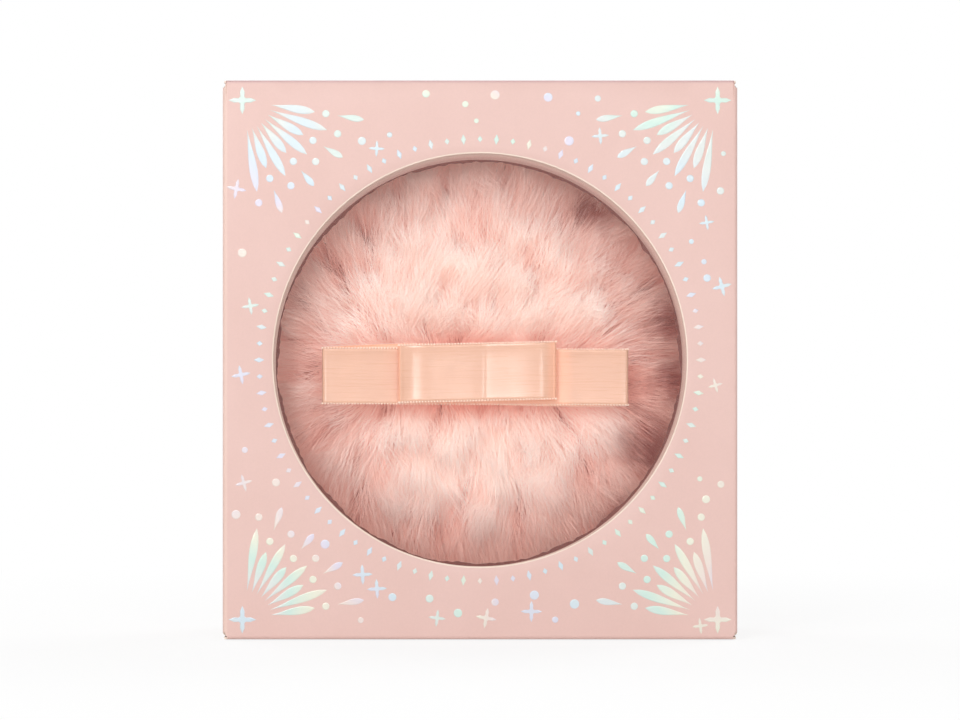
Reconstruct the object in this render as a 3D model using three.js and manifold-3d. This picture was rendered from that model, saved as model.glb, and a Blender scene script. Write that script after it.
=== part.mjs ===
// Window carton holding a round plush powder puff with a flat satin ribbon bow.
// Millimetres, +Z up, the window faces -Y, and the origin lies under the middle of the carton.

import * as THREE from 'three';
import { mergeVertices } from 'three/addons/utils/BufferGeometryUtils.js';
import Module from 'manifold-3d';

const wasm = await Module();
wasm.setup();

// Powder puff: two plush discs sewn together round a soft filling
const puffRadius = 57.5;
const frontCrown = 16.9;
const backCrown = 17.5;
const pileLength = 13.5;
const fillingFront = 9;
const fillingBack = 10;
const seamThreadRadius = 0.5;
const seamAllowance = 1.8;

// Carton: one creased blank of folding boxboard, with this much room round the puff
const boardThickness = 0.5;
const clearance = 0.3; // left at each crease and between laid faces
const sideRoom = 0.5;
const headRoom = 9.1;
const backRoom = 3;

// Window in the front panel, its film and the inner ply behind the film
const windowInset = 10.5; // the window is this much smaller all round than the puff
const filmOverlap = 6;
const filmThickness = 0.2;
const linerThickness = 0.4;
const linerInset = 1; // the ply's hole is this much smaller all round than the window
const linerHoleDrop = 1;
const linerHoleShift = 0.3;
const linerMargin = 0.8;

// Tuck tabs, dust flaps and glue flap
const tabLength = 10;
const tabSideRoom = 3;
const tabCornerRadius = 6;
const tabSetback = 1.5; // keeps the tab's swing clear of the panel in front of it
const flapLength = 21.2;
const flapFrontRelief = 1.3;
const flapBackRelief = 0.8;
const flapFrontTaper = 2.5;
const flapBackTaper = 17;
const glueFlapWidth = 12;
const glueFlapTaper = 6;
const glueFlapEnd = 1.5;

// Satin ribbon: a long flat loop with a short loop laid on it, tacked down in the middle
const ribbonWidth = 12.7;
const ribbonThickness = 0.35;
const longLoopHalf = 35.2;
const longLoopWaist = 0.6;
const longLoopSwell = 0.7;
const longLoopShift = -1.1;
const longLoopRise = 1.6;
const longLoopTilt = 0.006;
const shortLoopHalf = 18.2;
const shortLoopWaist = 0.9;
const shortLoopSwell = 0.3;
const shortLoopShift = -1.6;
const shortLoopRise = 2.5;
const shortLoopTilt = 0.017;
const ribbonSetback = 0.5; // behind the inner ply
const ribbonSeat = 0.626; // between the long loop's middle and the crown of the plush
const tackRadius = 0.8;
const knotRadius = 1.5;
const knotThickness = 0.5;
const tackDepth = 2.2;

// How finely round forms are divided
const windowArcs = 36;
const cornerArcs = 6;
const puffSides = 40;
const loopSteps = 44;
const threadSides = 8;

// Profiles, as shares of radius and of crown height, from the middle to the rim
const frontProfileShares = [
  [0, 0.89], [0.1, 0.94], [0.22, 0.99], [0.34, 1], [0.46, 0.98], [0.58, 0.92], [0.69, 0.82],
  [0.78, 0.7], [0.86, 0.55], [0.92, 0.4], [0.965, 0.25], [0.99, 0.12], [1, 0.01],
];
const backProfileShares = [
  [0, 0.93], [0.1, 0.96], [0.22, 0.995], [0.34, 1], [0.46, 0.97], [0.58, 0.91], [0.69, 0.81],
  [0.78, 0.69], [0.86, 0.54], [0.92, 0.39], [0.965, 0.25], [0.99, 0.12], [1, 0.01],
];
const fillingProfileShares = [
  [0, 0.86], [0.18, 0.94], [0.4, 1], [0.6, 0.93], [0.76, 0.78], [0.88, 0.55], [0.96, 0.3],
];
const loopEndPower = 10;

// Heights, from the underside up
const lidUnder = boardThickness;
const flapOuterFace = lidUnder + clearance;
const flapInnerFace = flapOuterFace + boardThickness;
const puffCentreZ = flapInnerFace + clearance + puffRadius;
const cartonHeight = puffCentreZ + puffRadius + headRoom + flapInnerFace;
const middleZ = cartonHeight / 2;

// Widths
const sideInner = puffRadius + sideRoom;
const sideOuter = sideInner + boardThickness;
const windowRadius = puffRadius - windowInset;
const linerHoleRadius = windowRadius - linerInset;
const fillingRadius = puffRadius - pileLength;

// Depths: the layers from the window back to the seam of the puff, and from there to the back panel
const shortLoopDepth = shortLoopWaist + shortLoopSwell;
const longLoopMiddle = longLoopWaist + longLoopSwell * (shortLoopHalf / longLoopHalf) ** 2;
const plyStack = boardThickness + filmThickness + linerThickness + 2 * clearance;
const bowStack = ribbonSetback + 2 * shortLoopDepth + clearance + 2 * longLoopMiddle + ribbonSeat;
const cartonDepth = plyStack + bowStack + frontCrown + backCrown + backRoom + boardThickness;
const frontOuter = -cartonDepth / 2;
const frontInner = frontOuter + boardThickness;
const filmFront = frontInner + clearance;
const filmBack = filmFront + filmThickness;
const linerFront = filmBack + clearance;
const linerBack = linerFront + linerThickness;
const shortLoopY = linerBack + ribbonSetback + shortLoopDepth;
const longLoopY = shortLoopY + shortLoopDepth + clearance + longLoopMiddle;
const seamPlaneY = longLoopY + longLoopMiddle + ribbonSeat + frontCrown;
const backOuter = cartonDepth / 2;
const backInner = backOuter - boardThickness;
const tabOuterFace = backInner - tabSetback;
const tabInnerFace = tabOuterFace - boardThickness;

// Finishes
const board = { color: 0xf0cdc3, roughness: 0.55 };
const innerPly = { color: 0xcdafa2, roughness: 0.85 };
const film = { color: 0xf2f6f8, roughness: 0.05, transparent: true, opacity: 0.15 };
const plush = { color: 0xf0cabd, roughness: 0.95 };
const wadding = { color: 0xf6f2ea, roughness: 1 };
const thread = { color: 0xf0c2ae, roughness: 0.8 };
const satin = { color: 0xf6c9b0, roughness: 0.35 };

const model = new THREE.Group();

function addPiece(name, geometry, finish, place = {}) {
  const material = new THREE.MeshStandardMaterial({ metalness: 0, ...finish });
  const mesh = new THREE.Mesh(geometry, material);
  mesh.name = name;
  mesh.position.set(place.x ?? 0, place.y ?? 0, place.z ?? 0);
  mesh.rotation.y = place.tilt ?? 0;
  model.add(mesh);
}

function addSlab(name, finish, low, high) {
  const size = high.map((value, axis) => value - low[axis]);
  const [x, y, z] = high.map((value, axis) => (value + low[axis]) / 2);
  addPiece(name, new THREE.BoxGeometry(...size), finish, { x, y, z });
}

function toManifold(geometry) {
  const bare = geometry.clone();
  bare.deleteAttribute('normal');
  bare.deleteAttribute('uv');
  const merged = mergeVertices(bare);
  return new wasm.Manifold(new wasm.Mesh({
    numProp: 3,
    vertProperties: merged.attributes.position.array,
    triVerts: Uint32Array.from(merged.index.array),
  }));
}

function toGeometry(manifold) {
  const mesh = manifold.getMesh();
  const geometry = new THREE.BufferGeometry();
  geometry.setAttribute('position', new THREE.BufferAttribute(mesh.vertProperties, mesh.numProp));
  geometry.setIndex(new THREE.BufferAttribute(mesh.triVerts, 1));
  geometry.computeVertexNormals();
  return geometry;
}

function extrude(shape, depth, curveSegments = windowArcs) {
  return new THREE.ExtrudeGeometry(shape, { depth, bevelEnabled: false, curveSegments });
}

// An outline in X and Z made into an upright sheet whose outer face has the lower Y.
function uprightSheet(shape, front, thickness, curveSegments) {
  const geometry = extrude(shape, thickness, curveSegments);
  geometry.rotateX(Math.PI / 2);
  geometry.translate(0, front + thickness, 0);
  return geometry;
}

function rectangle(left, right, bottom, top) {
  const shape = new THREE.Shape();
  shape.moveTo(left, bottom);
  shape.lineTo(right, bottom);
  shape.lineTo(right, top);
  shape.lineTo(left, top);
  shape.closePath();
  return shape;
}

function withRoundHole(shape, x, z, radius) {
  const hole = new THREE.Path();
  hole.absarc(x, z, radius, 0, 2 * Math.PI, true);
  shape.holes.push(hole);
  return shape;
}

function addSleeve() {
  const frontShape = rectangle(-sideOuter, sideOuter, 0, cartonHeight);
  withRoundHole(frontShape, 0, middleZ, windowRadius);
  addPiece('front_panel', uprightSheet(frontShape, frontOuter, boardThickness), board);
  addSlab('back_panel', board, [-sideOuter, backInner, 0], [sideOuter, backOuter, cartonHeight]);
  for (const [name, side] of [['left_side_panel', -1], ['right_side_panel', 1]]) {
    const faces = [side * sideOuter, side * sideInner].sort((a, b) => a - b);
    const low = [faces[0], frontInner + clearance, flapOuterFace];
    const high = [faces[1], backInner - clearance, cartonHeight - flapOuterFace];
    addSlab(name, board, low, high);
  }
}

function addGlueFlap() {
  const back = backInner - clearance;
  const front = back - glueFlapWidth;
  const bottom = flapInnerFace + glueFlapEnd;
  const top = cartonHeight - bottom;
  const outline = new THREE.Shape();
  outline.moveTo(back, bottom);
  outline.lineTo(back, top);
  outline.lineTo(front, top - glueFlapTaper);
  outline.lineTo(front, bottom + glueFlapTaper);
  outline.closePath();
  const geometry = extrude(outline, boardThickness);
  geometry.rotateX(Math.PI / 2);
  geometry.rotateZ(Math.PI / 2);
  geometry.translate(-sideInner + clearance, 0, 0);
  addPiece('glue_flap', geometry, board);
}

function addWindow() {
  const reach = windowRadius + filmOverlap;
  const low = [-reach, filmFront, middleZ - reach];
  addSlab('window_film', film, low, [reach, filmBack, middleZ + reach]);
  const side = sideInner - linerMargin;
  const bottom = flapInnerFace + clearance;
  const top = cartonHeight - flapOuterFace - tabLength - linerMargin;
  const ply = rectangle(-side, side, bottom, top);
  withRoundHole(ply, -linerHoleShift, middleZ - linerHoleDrop, linerHoleRadius);
  addPiece('window_liner', uprightSheet(ply, linerFront, linerThickness), innerPly);
}

// A closure is drawn as the bottom one and turned about X for the top.
function addClosure(end) {
  const turned = end === 'top';
  const place = (geometry) => {
    if (turned) {
      geometry.rotateX(Math.PI);
      geometry.translate(0, 0, cartonHeight);
    }
    return geometry;
  };
  const lidSide = sideOuter - clearance;
  const lid = rectangle(-lidSide, lidSide, frontInner + clearance, backInner - clearance);
  addPiece(`${end}_lid`, place(extrude(lid, boardThickness)), board);

  const tab = tabOutline();
  const tabSheet = uprightSheet(tab, tabInnerFace, boardThickness, cornerArcs);
  addPiece(`${end}_tuck_tab`, place(tabSheet), board);

  for (const [name, side] of [['left', -1], ['right', 1]]) {
    const geometry = extrude(dustFlapOutline(side), boardThickness);
    geometry.translate(0, 0, flapOuterFace);
    addPiece(`${end}_dust_flap_${name}`, place(geometry), board);
  }
}

function tabOutline() {
  const half = sideOuter - tabSideRoom;
  const root = flapOuterFace;
  const tip = root + tabLength;
  const outline = new THREE.Shape();
  outline.moveTo(-half, root);
  outline.lineTo(half, root);
  const turn = half - tabCornerRadius;
  const rise = tip - tabCornerRadius;
  outline.absarc(turn, rise, tabCornerRadius, 0, Math.PI / 2, false);
  outline.absarc(-turn, rise, tabCornerRadius, Math.PI / 2, Math.PI, false);
  outline.closePath();
  return outline;
}

function dustFlapOutline(side) {
  const root = side * (sideInner - clearance);
  const tip = root - side * flapLength;
  const front = frontInner + flapBackRelief;
  const back = tabInnerFace - flapFrontRelief;
  const outline = new THREE.Shape();
  outline.moveTo(root, front);
  outline.lineTo(root, back);
  outline.lineTo(tip, back - flapFrontTaper);
  outline.lineTo(tip, front + flapBackTaper);
  outline.closePath();
  return outline;
}

// A profile given as shares becomes points of radius and depth from the seam plane.
function profilePoints(shares, radius, crown) {
  return shares.map(([out, deep]) => new THREE.Vector2(out * radius, deep * crown));
}

function plushShell(facing, shares, crown, fillingCrown) {
  const seatGap = clearance / 2;
  const grooveHalf = seamThreadRadius + clearance;
  const grooveMiddle = fillingRadius + seamAllowance;
  const outer = profilePoints(shares, puffRadius, crown);
  const cavityRadius = fillingRadius + clearance;
  const inner = profilePoints(fillingProfileShares, cavityRadius, fillingCrown + clearance);
  const rim = [
    [puffRadius, seatGap],
    [grooveMiddle + grooveHalf, seatGap],
    [grooveMiddle + grooveHalf, grooveHalf],
    [grooveMiddle - grooveHalf, grooveHalf],
    [grooveMiddle - grooveHalf, seatGap],
    [cavityRadius, seatGap],
  ].map(([out, deep]) => new THREE.Vector2(out, deep));
  const outerAbove = outer.filter((point) => point.y > rim[0].y + clearance);
  const loop = [...outerAbove, ...rim, ...inner.reverse()];
  const turned = loop.map((point) => new THREE.Vector2(point.x, seamPlaneY + facing * point.y));
  return closedLathe(facing > 0 ? turned.reverse() : turned);
}

function closedLathe(points) {
  return new THREE.LatheGeometry(points, puffSides);
}

function addPuffBody() {
  const front = plushShell(-1, frontProfileShares, frontCrown, fillingFront);
  const back = plushShell(1, backProfileShares, backCrown, fillingBack);
  const boreRadius = tackRadius + clearance;
  const bore = new THREE.CylinderGeometry(boreRadius, boreRadius, frontCrown, threadSides * 2);
  bore.translate(tackX(), tackEndY() + clearance - frontCrown / 2, tackZ());
  const boredFront = toGeometry(toManifold(front).subtract(toManifold(bore)));
  addPiece('puff_front_plush', boredFront, plush, { z: puffCentreZ });
  addPiece('puff_back_plush', back, plush, { z: puffCentreZ });
  addPiece('puff_filling', fillingPad(), wadding, { z: puffCentreZ });
  addPiece('puff_seam_thread', seamThread(), thread, { z: puffCentreZ });
}

function fillingPad() {
  const front = profilePoints(fillingProfileShares, fillingRadius, fillingFront);
  const back = profilePoints(fillingProfileShares, fillingRadius, fillingBack);
  const edge = new THREE.Vector2(fillingRadius, seamPlaneY);
  const points = [
    ...front.map((point) => new THREE.Vector2(point.x, seamPlaneY - point.y)),
    edge,
    ...back.reverse().map((point) => new THREE.Vector2(point.x, seamPlaneY + point.y)),
  ];
  return closedLathe(points);
}

function seamThread() {
  const ring = [];
  for (let step = 0; step <= threadSides; step += 1) {
    const angle = (step / threadSides) * 2 * Math.PI;
    const out = fillingRadius + seamAllowance + seamThreadRadius * Math.cos(angle);
    ring.push(new THREE.Vector2(out, seamPlaneY + seamThreadRadius * Math.sin(angle)));
  }
  return closedLathe(ring);
}

// Half the depth of a loop at a share of its half length, before its round end closes it.
function loopDepth(share, waist, swell) {
  return (waist + swell * share ** 2) * (1 - share ** loopEndPower) ** (1 / 2);
}

function loopOutline(half, waist, swell, inset) {
  const points = [];
  for (let step = 0; step < 2 * loopSteps; step += 1) {
    const angle = (step / loopSteps) * Math.PI;
    const share = Math.cos(angle);
    const side = step < loopSteps ? 1 : -1;
    const deep = loopDepth(share, waist - inset, swell) * side;
    points.push(new THREE.Vector2(share * (half - inset), deep));
  }
  return points;
}

function ribbonLoop(half, waist, swell) {
  const shape = new THREE.Shape(loopOutline(half, waist, swell, 0));
  shape.holes.push(new THREE.Path(loopOutline(half, waist, swell, ribbonThickness)));
  const geometry = extrude(shape, ribbonWidth);
  geometry.translate(0, 0, -ribbonWidth / 2);
  return geometry;
}

function tackX() {
  return (longLoopShift + shortLoopShift) / 2;
}

function tackZ() {
  return (longLoopRise + shortLoopRise) / 2;
}

function tackEndY() {
  return seamPlaneY - frontCrown * frontProfileShares[0][1] + tackDepth;
}

// Puts a loop in its place and cuts the tack hole through every layer behind the knot.
function cutTackHole(geometry, place) {
  const radius = tackRadius + clearance;
  const reach = tackEndY() - shortLoopY;
  const hole = new THREE.CylinderGeometry(radius, radius, reach, threadSides * 2);
  hole.translate(tackX(), shortLoopY + reach / 2, puffCentreZ + tackZ());
  const placed = geometry.clone();
  placed.rotateY(place.tilt);
  placed.translate(place.x, place.y, place.z);
  return toGeometry(toManifold(placed).subtract(toManifold(hole)));
}

function addRibbon() {
  const longZ = puffCentreZ + longLoopRise;
  const shortZ = puffCentreZ + shortLoopRise;
  const longPlace = { x: longLoopShift, y: longLoopY, z: longZ, tilt: longLoopTilt };
  const shortPlace = { x: shortLoopShift, y: shortLoopY, z: shortZ, tilt: -shortLoopTilt };
  const longLoop = ribbonLoop(longLoopHalf, longLoopWaist, longLoopSwell);
  const shortLoop = ribbonLoop(shortLoopHalf, shortLoopWaist, shortLoopSwell);
  addPiece('ribbon_long_loop', cutTackHole(longLoop, longPlace), satin);
  addPiece('ribbon_short_loop', cutTackHole(shortLoop, shortPlace), satin);
}

function addTackThread() {
  const knotFront = shortLoopY - knotThickness / 2;
  const knotBack = knotFront + knotThickness;
  const outline = [
    [0, knotFront], [knotRadius, knotFront], [knotRadius, knotBack],
    [tackRadius, knotBack], [tackRadius, tackEndY()], [0, tackEndY()],
  ].map(([out, y]) => new THREE.Vector2(out, y));
  const geometry = new THREE.LatheGeometry(outline, threadSides * 2);
  addPiece('ribbon_tack_thread', geometry, thread, { x: tackX(), z: puffCentreZ + tackZ() });
}

addSleeve();
addGlueFlap();
addWindow();
addClosure('bottom');
addClosure('top');
addPuffBody();
addRibbon();
addTackThread();

export default model;
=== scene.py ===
"""Looks of a round plush powder puff with a satin bow, in an upright carton with a film window.

Lengths are in metres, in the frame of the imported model: +Z up, the window faces -Y.
"""

import logging
import math
import random
from collections.abc import Callable, Iterable, Iterator, Sequence
from contextlib import contextmanager
from dataclasses import dataclass, field
from enum import Enum
from functools import cached_property

import bmesh
import bpy
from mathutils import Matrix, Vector, noise


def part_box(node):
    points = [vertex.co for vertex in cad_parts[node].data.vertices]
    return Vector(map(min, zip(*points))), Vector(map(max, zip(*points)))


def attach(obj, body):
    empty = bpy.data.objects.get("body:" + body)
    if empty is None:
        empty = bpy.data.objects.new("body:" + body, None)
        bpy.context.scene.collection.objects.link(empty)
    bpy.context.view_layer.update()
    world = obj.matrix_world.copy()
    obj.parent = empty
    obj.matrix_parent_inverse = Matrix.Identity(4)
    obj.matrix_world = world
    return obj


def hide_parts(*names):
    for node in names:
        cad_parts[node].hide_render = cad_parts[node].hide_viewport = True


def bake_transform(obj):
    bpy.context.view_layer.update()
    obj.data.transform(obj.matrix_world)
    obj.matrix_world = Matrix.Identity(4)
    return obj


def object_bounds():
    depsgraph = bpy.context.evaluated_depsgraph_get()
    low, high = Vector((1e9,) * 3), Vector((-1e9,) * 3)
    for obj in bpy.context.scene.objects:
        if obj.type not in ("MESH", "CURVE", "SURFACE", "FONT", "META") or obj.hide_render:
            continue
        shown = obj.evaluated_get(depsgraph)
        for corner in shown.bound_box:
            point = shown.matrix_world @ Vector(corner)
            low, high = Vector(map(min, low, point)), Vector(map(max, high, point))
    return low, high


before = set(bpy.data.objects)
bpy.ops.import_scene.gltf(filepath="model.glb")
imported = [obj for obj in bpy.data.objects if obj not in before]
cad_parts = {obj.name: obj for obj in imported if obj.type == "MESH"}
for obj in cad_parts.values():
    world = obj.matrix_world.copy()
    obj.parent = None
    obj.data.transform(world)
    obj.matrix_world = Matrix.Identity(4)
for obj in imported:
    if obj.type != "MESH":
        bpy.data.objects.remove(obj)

CAD_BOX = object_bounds()
MM = 0.001
TINY = 1e-6
UP = (0.0, 1.0)
DOWN = (1.0, 0.0)
MID_GREY = (0.5, 0.5, 0.5)
WINDOW_PLANE = (1.0, 0.0, 1.0)
LOG = logging.getLogger("powder_puff")

Pair = tuple[float, float]
Point = tuple[float, float, float]
Colour = tuple[float, float, float]


def srgb(red: int, green: int, blue: int) -> Colour:
    """Turns a colour of 0 to 255 a channel into the linear values that shaders take.

    Args:
        red: Red from 0 to 255.
        green: Green from 0 to 255.
        blue: Blue from 0 to 255.

    Returns:
        The three linear channels.
    """
    shares = (value / 255 for value in (red, green, blue))
    return tuple(s / 12.92 if s <= 0.04045 else ((s + 0.055) / 1.055) ** 2.4 for s in shares)


def low(node: str) -> Vector:
    """Lowest corner of a CAD node."""
    return Vector(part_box(node)[0])


def high(node: str) -> Vector:
    """Highest corner of a CAD node."""
    return Vector(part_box(node)[1])


def around(centre: Point, reach: float, angle: float) -> Point:
    """A place at a distance and angle from a centre, in the plane of the window."""
    return centre[0] + reach * math.cos(angle), centre[1], centre[2] + reach * math.sin(angle)


def placed(name: str, data: bpy.types.ID) -> bpy.types.Object:
    """Makes an object of a mesh, lamp or camera, and puts it in the scene.

    Args:
        name: The object's name.
        data: What it shows.

    Returns:
        The object.
    """
    made = bpy.data.objects.new(name, data)
    bpy.context.scene.collection.objects.link(made)
    return made


@contextmanager
def edited(
    mesh: bpy.types.Mesh, target: bpy.types.Mesh | None = None
) -> Iterator[bmesh.types.BMesh]:
    """Opens a mesh for changes, and writes them at the end, to a target mesh if one is given."""
    work = bmesh.new()
    work.from_mesh(mesh)
    yield work
    work.to_mesh(target or mesh)
    work.free()


class Value:
    """An output of a node, with plain arithmetic on numbers, vectors and colours."""

    def __init__(self, graph: "Graph", socket: bpy.types.NodeSocket) -> None:
        """Keeps the socket and the graph that it belongs to."""
        self.graph = graph
        self.socket = socket

    @property
    def single(self) -> bool:
        """Whether it carries one number."""
        return self.socket.type in ("VALUE", "INT")

    def __add__(self, other: object) -> "Value":
        """Sum of the two."""
        return self.graph.operate("ADD", self, other)

    def __sub__(self, other: object) -> "Value":
        """Difference of the two."""
        return self.graph.operate("SUBTRACT", self, other)

    def __rsub__(self, other: object) -> "Value":
        """Difference of a constant and this."""
        return self.graph.operate("SUBTRACT", other, self)

    def __mul__(self, other: object) -> "Value":
        """Product of the two; a number scales a vector."""
        return self.graph.operate("MULTIPLY", self, other)

    def __rmul__(self, other: object) -> "Value":
        """Product of a constant and this."""
        return self.graph.operate("MULTIPLY", other, self)

    def __pow__(self, other: float) -> "Value":
        """Power of this."""
        return self.graph.operate("POWER", self, other)

    def __abs__(self) -> "Value":
        """Size without its sign."""
        return self.graph.operate("ABSOLUTE", self)

    def most(self, other: object) -> "Value":
        """The greater of the two."""
        return self.graph.operate("MAXIMUM", self, other)

    def least(self, other: object) -> "Value":
        """The smaller of the two."""
        return self.graph.operate("MINIMUM", self, other)

    def below(self, limit: float) -> "Value":
        """One where it is less than the limit, else zero."""
        return self.graph.operate("LESS_THAN", self, limit)

    def unit(self) -> "Value":
        """The vector at a length of one."""
        return self.graph.operate("NORMALIZE", self)

    def length(self) -> "Value":
        """The vector's length."""
        return self.graph.operate("LENGTH", self)

    def to(self, old: Pair, new: Pair) -> "Value":
        """Maps a number from one range to another, clamped."""
        return self.graph.get("ShaderNodeMapRange", dict(enumerate((self, *old, *new))))

    def within(self, limit_low: float, limit_high: float) -> "Value":
        """Keeps a number between two limits."""
        return self.graph.get("ShaderNodeClamp", {0: self, 1: limit_low, 2: limit_high})

    def split(self) -> list["Value"]:
        """The three channels of a vector."""
        node = self.graph.add("ShaderNodeSeparateXYZ", {0: self})
        return [Value(self.graph, socket) for socket in node.outputs]

    def off_axis(self, centre: Point) -> "Value":
        """Distance of a place from a centre, seen straight through the window."""
        return ((self - centre) * WINDOW_PLANE).length()


class Graph:
    """A node tree that is filled by short calls."""

    def __init__(self, tree: bpy.types.NodeTree) -> None:
        """Keeps the tree to be filled."""
        self.tree = tree

    def add(self, kind: str, inputs: dict | None = None, **settings) -> bpy.types.Node:
        """Adds a node.

        Args:
            kind: The node's type name.
            inputs: Socket name or number to a value, or to the output that feeds it.
            settings: Properties of the node itself.

        Returns:
            The new node.
        """
        node = self.tree.nodes.new(kind)
        for name, value in settings.items():
            setattr(node, name, value)
        for key, value in (inputs or {}).items():
            self.feed(node.inputs[key], value)
        return node

    def feed(self, socket: bpy.types.NodeSocket, value: object) -> None:
        """Sets a socket's own value, or links another node's output to it.

        Args:
            socket: The input.
            value: A constant, or the output that feeds it.
        """
        if isinstance(value, Value):
            self.tree.links.new(value.socket, socket)
        else:
            socket.default_value = value

    def get(
        self, kind: str, inputs: dict | None = None, output: int | str = 0, **settings
    ) -> Value:
        """Adds a node and returns one of its outputs."""
        return Value(self, self.add(kind, inputs, **settings).outputs[output])

    def operate(self, operation: str, *values: object) -> Value:
        """Adds a number or vector operation, as its first value is, and returns the result.

        Args:
            operation: The operation's name.
            values: Its values, in order.

        Returns:
            The result, a number or a vector.
        """
        single = [v.single if isinstance(v, Value) else not isinstance(v, tuple) for v in values]
        inputs = dict(enumerate(values))
        if single[0]:
            return self.get("ShaderNodeMath", inputs, operation=operation)
        if operation == "MULTIPLY" and single[1]:
            inputs = {0: values[0], "Scale": values[1]}
            operation = "SCALE"
        output = 1 if operation in ("LENGTH", "DOT_PRODUCT") else 0
        return self.get("ShaderNodeVectorMath", inputs, output, operation=operation)

    @cached_property
    def place(self) -> Value:
        """Coordinates in metres that stay with the piece."""
        return self.get("ShaderNodeTexCoord", output="Object")

    def joined(self, x: object, y: object, z: object) -> Value:
        """Joins three channels to a vector."""
        return self.get("ShaderNodeCombineXYZ", {0: x, 1: y, 2: z})

    def ramp(self, factor: Value, stops: Sequence[tuple[float, Colour]]) -> Value:
        """Adds a colour ramp and returns its colour.

        Args:
            factor: Place on the ramp.
            stops: Each stop's place and colour.

        Returns:
            The colour.
        """
        node = self.add("ShaderNodeValToRGB", {"Fac": factor})
        elements = node.color_ramp.elements
        while len(elements) > 1:
            elements.remove(elements[0])
        elements[0].position = stops[0][0]
        elements[0].color = (*stops[0][1], 1)
        for position, colour in stops[1:]:
            elements.new(position).color = (*colour, 1)
        return Value(self, node.outputs["Color"])

    def mix(self, factor: Value, first: object, second: object, blend: str = "MIX") -> Value:
        """Mixes two colours and returns the result.

        Args:
            factor: Share of the second colour.
            first: One colour.
            second: The other.
            blend: How the two are mixed.

        Returns:
            The mixed colour.
        """
        first, second = ((*each, 1) if isinstance(each, tuple) else each for each in (first, second))
        return self.get(
            "ShaderNodeMix", {0: factor, 6: first, 7: second}, 2, data_type="RGBA", blend_type=blend)

    def noise(
        self, vector: Value, scale: float, detail: float, rough: float, output: str = "Fac"
    ) -> Value:
        """Adds a noise texture and returns one of its outputs.

        Args:
            vector: Coordinates.
            scale: Scale of the noise.
            detail: How many finer layers.
            rough: How strong these are.
            output: Which output is wanted.

        Returns:
            That output.
        """
        inputs = {"Vector": vector, "Scale": scale, "Detail": detail, "Roughness": rough}
        return self.get("ShaderNodeTexNoise", inputs, output)

    def stray(self, vector: Value, scale: float, detail: float, rough: float) -> Value:
        """Adds a noise vector that is even about zero."""
        return self.noise(vector, scale, detail, rough, "Color") - MID_GREY

    def stretched(self, vector: Value, scale: Point) -> Value:
        """Stretches coordinates."""
        return self.get("ShaderNodeMapping", {"Vector": vector, "Scale": scale})

    def attribute(self, name: str) -> Value:
        """Reads a number that the mesh carries."""
        return self.get("ShaderNodeAttribute", output="Fac", attribute_name=name)

    def bump(self, height: Value, distance: float, strength: float, **normal: Value) -> Value:
        """Adds a bump of a height, if need be on another bump's Normal."""
        inputs = {"Height": height, "Distance": distance, "Strength": strength, **normal}
        return self.get("ShaderNodeBump", inputs)


@dataclass(frozen=True)
class Finish:
    """A surface finish: a name and the constants of its shader."""

    name: str
    colour: Colour
    roughness: float = 0.6
    metallic: float = 0.0
    sheen: float = 0.0
    coat: float = 0.0
    coat_roughness: float = 0.2
    alpha: float = 1.0
    specular: float = 0.5
    glow: float = 0.0

    def material(self) -> bpy.types.Material:
        """Makes the finish's material once, and returns it.

        Returns:
            The material, which all pieces of this finish share.
        """
        found = bpy.data.materials.get(self.name)
        if found is not None:
            return found
        made = bpy.data.materials.new(self.name)
        made.use_nodes = True
        made.diffuse_color = (*self.colour, self.alpha)
        tint = (*self.colour, 1)
        graph = Graph(made.node_tree)
        shader = made.node_tree.nodes["Principled BSDF"]
        values = {
            "Base Color": tint, "Roughness": self.roughness, "Metallic": self.metallic,
            "Sheen Weight": self.sheen, "Sheen Roughness": 0.4, "Sheen Tint": tint,
            "Coat Weight": self.coat, "Coat Roughness": self.coat_roughness, "Alpha": self.alpha,
            "Specular IOR Level": self.specular, "Emission Color": tint,
            "Emission Strength": self.glow, **self.pattern(graph),
        }
        for socket, value in values.items():
            graph.feed(shader.inputs[socket], value)
        return made

    def pattern(self, g: Graph) -> dict[str, Value]:
        """What feeds the shader's sockets in place of a constant; a plain finish has none."""
        return {}

    def worn(self, value: Value, old: Pair, less: float, more: float) -> Value:
        """Roughness that varies about the finish's own with a value."""
        return value.to(old, (self.roughness - less, self.roughness + more))


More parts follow.
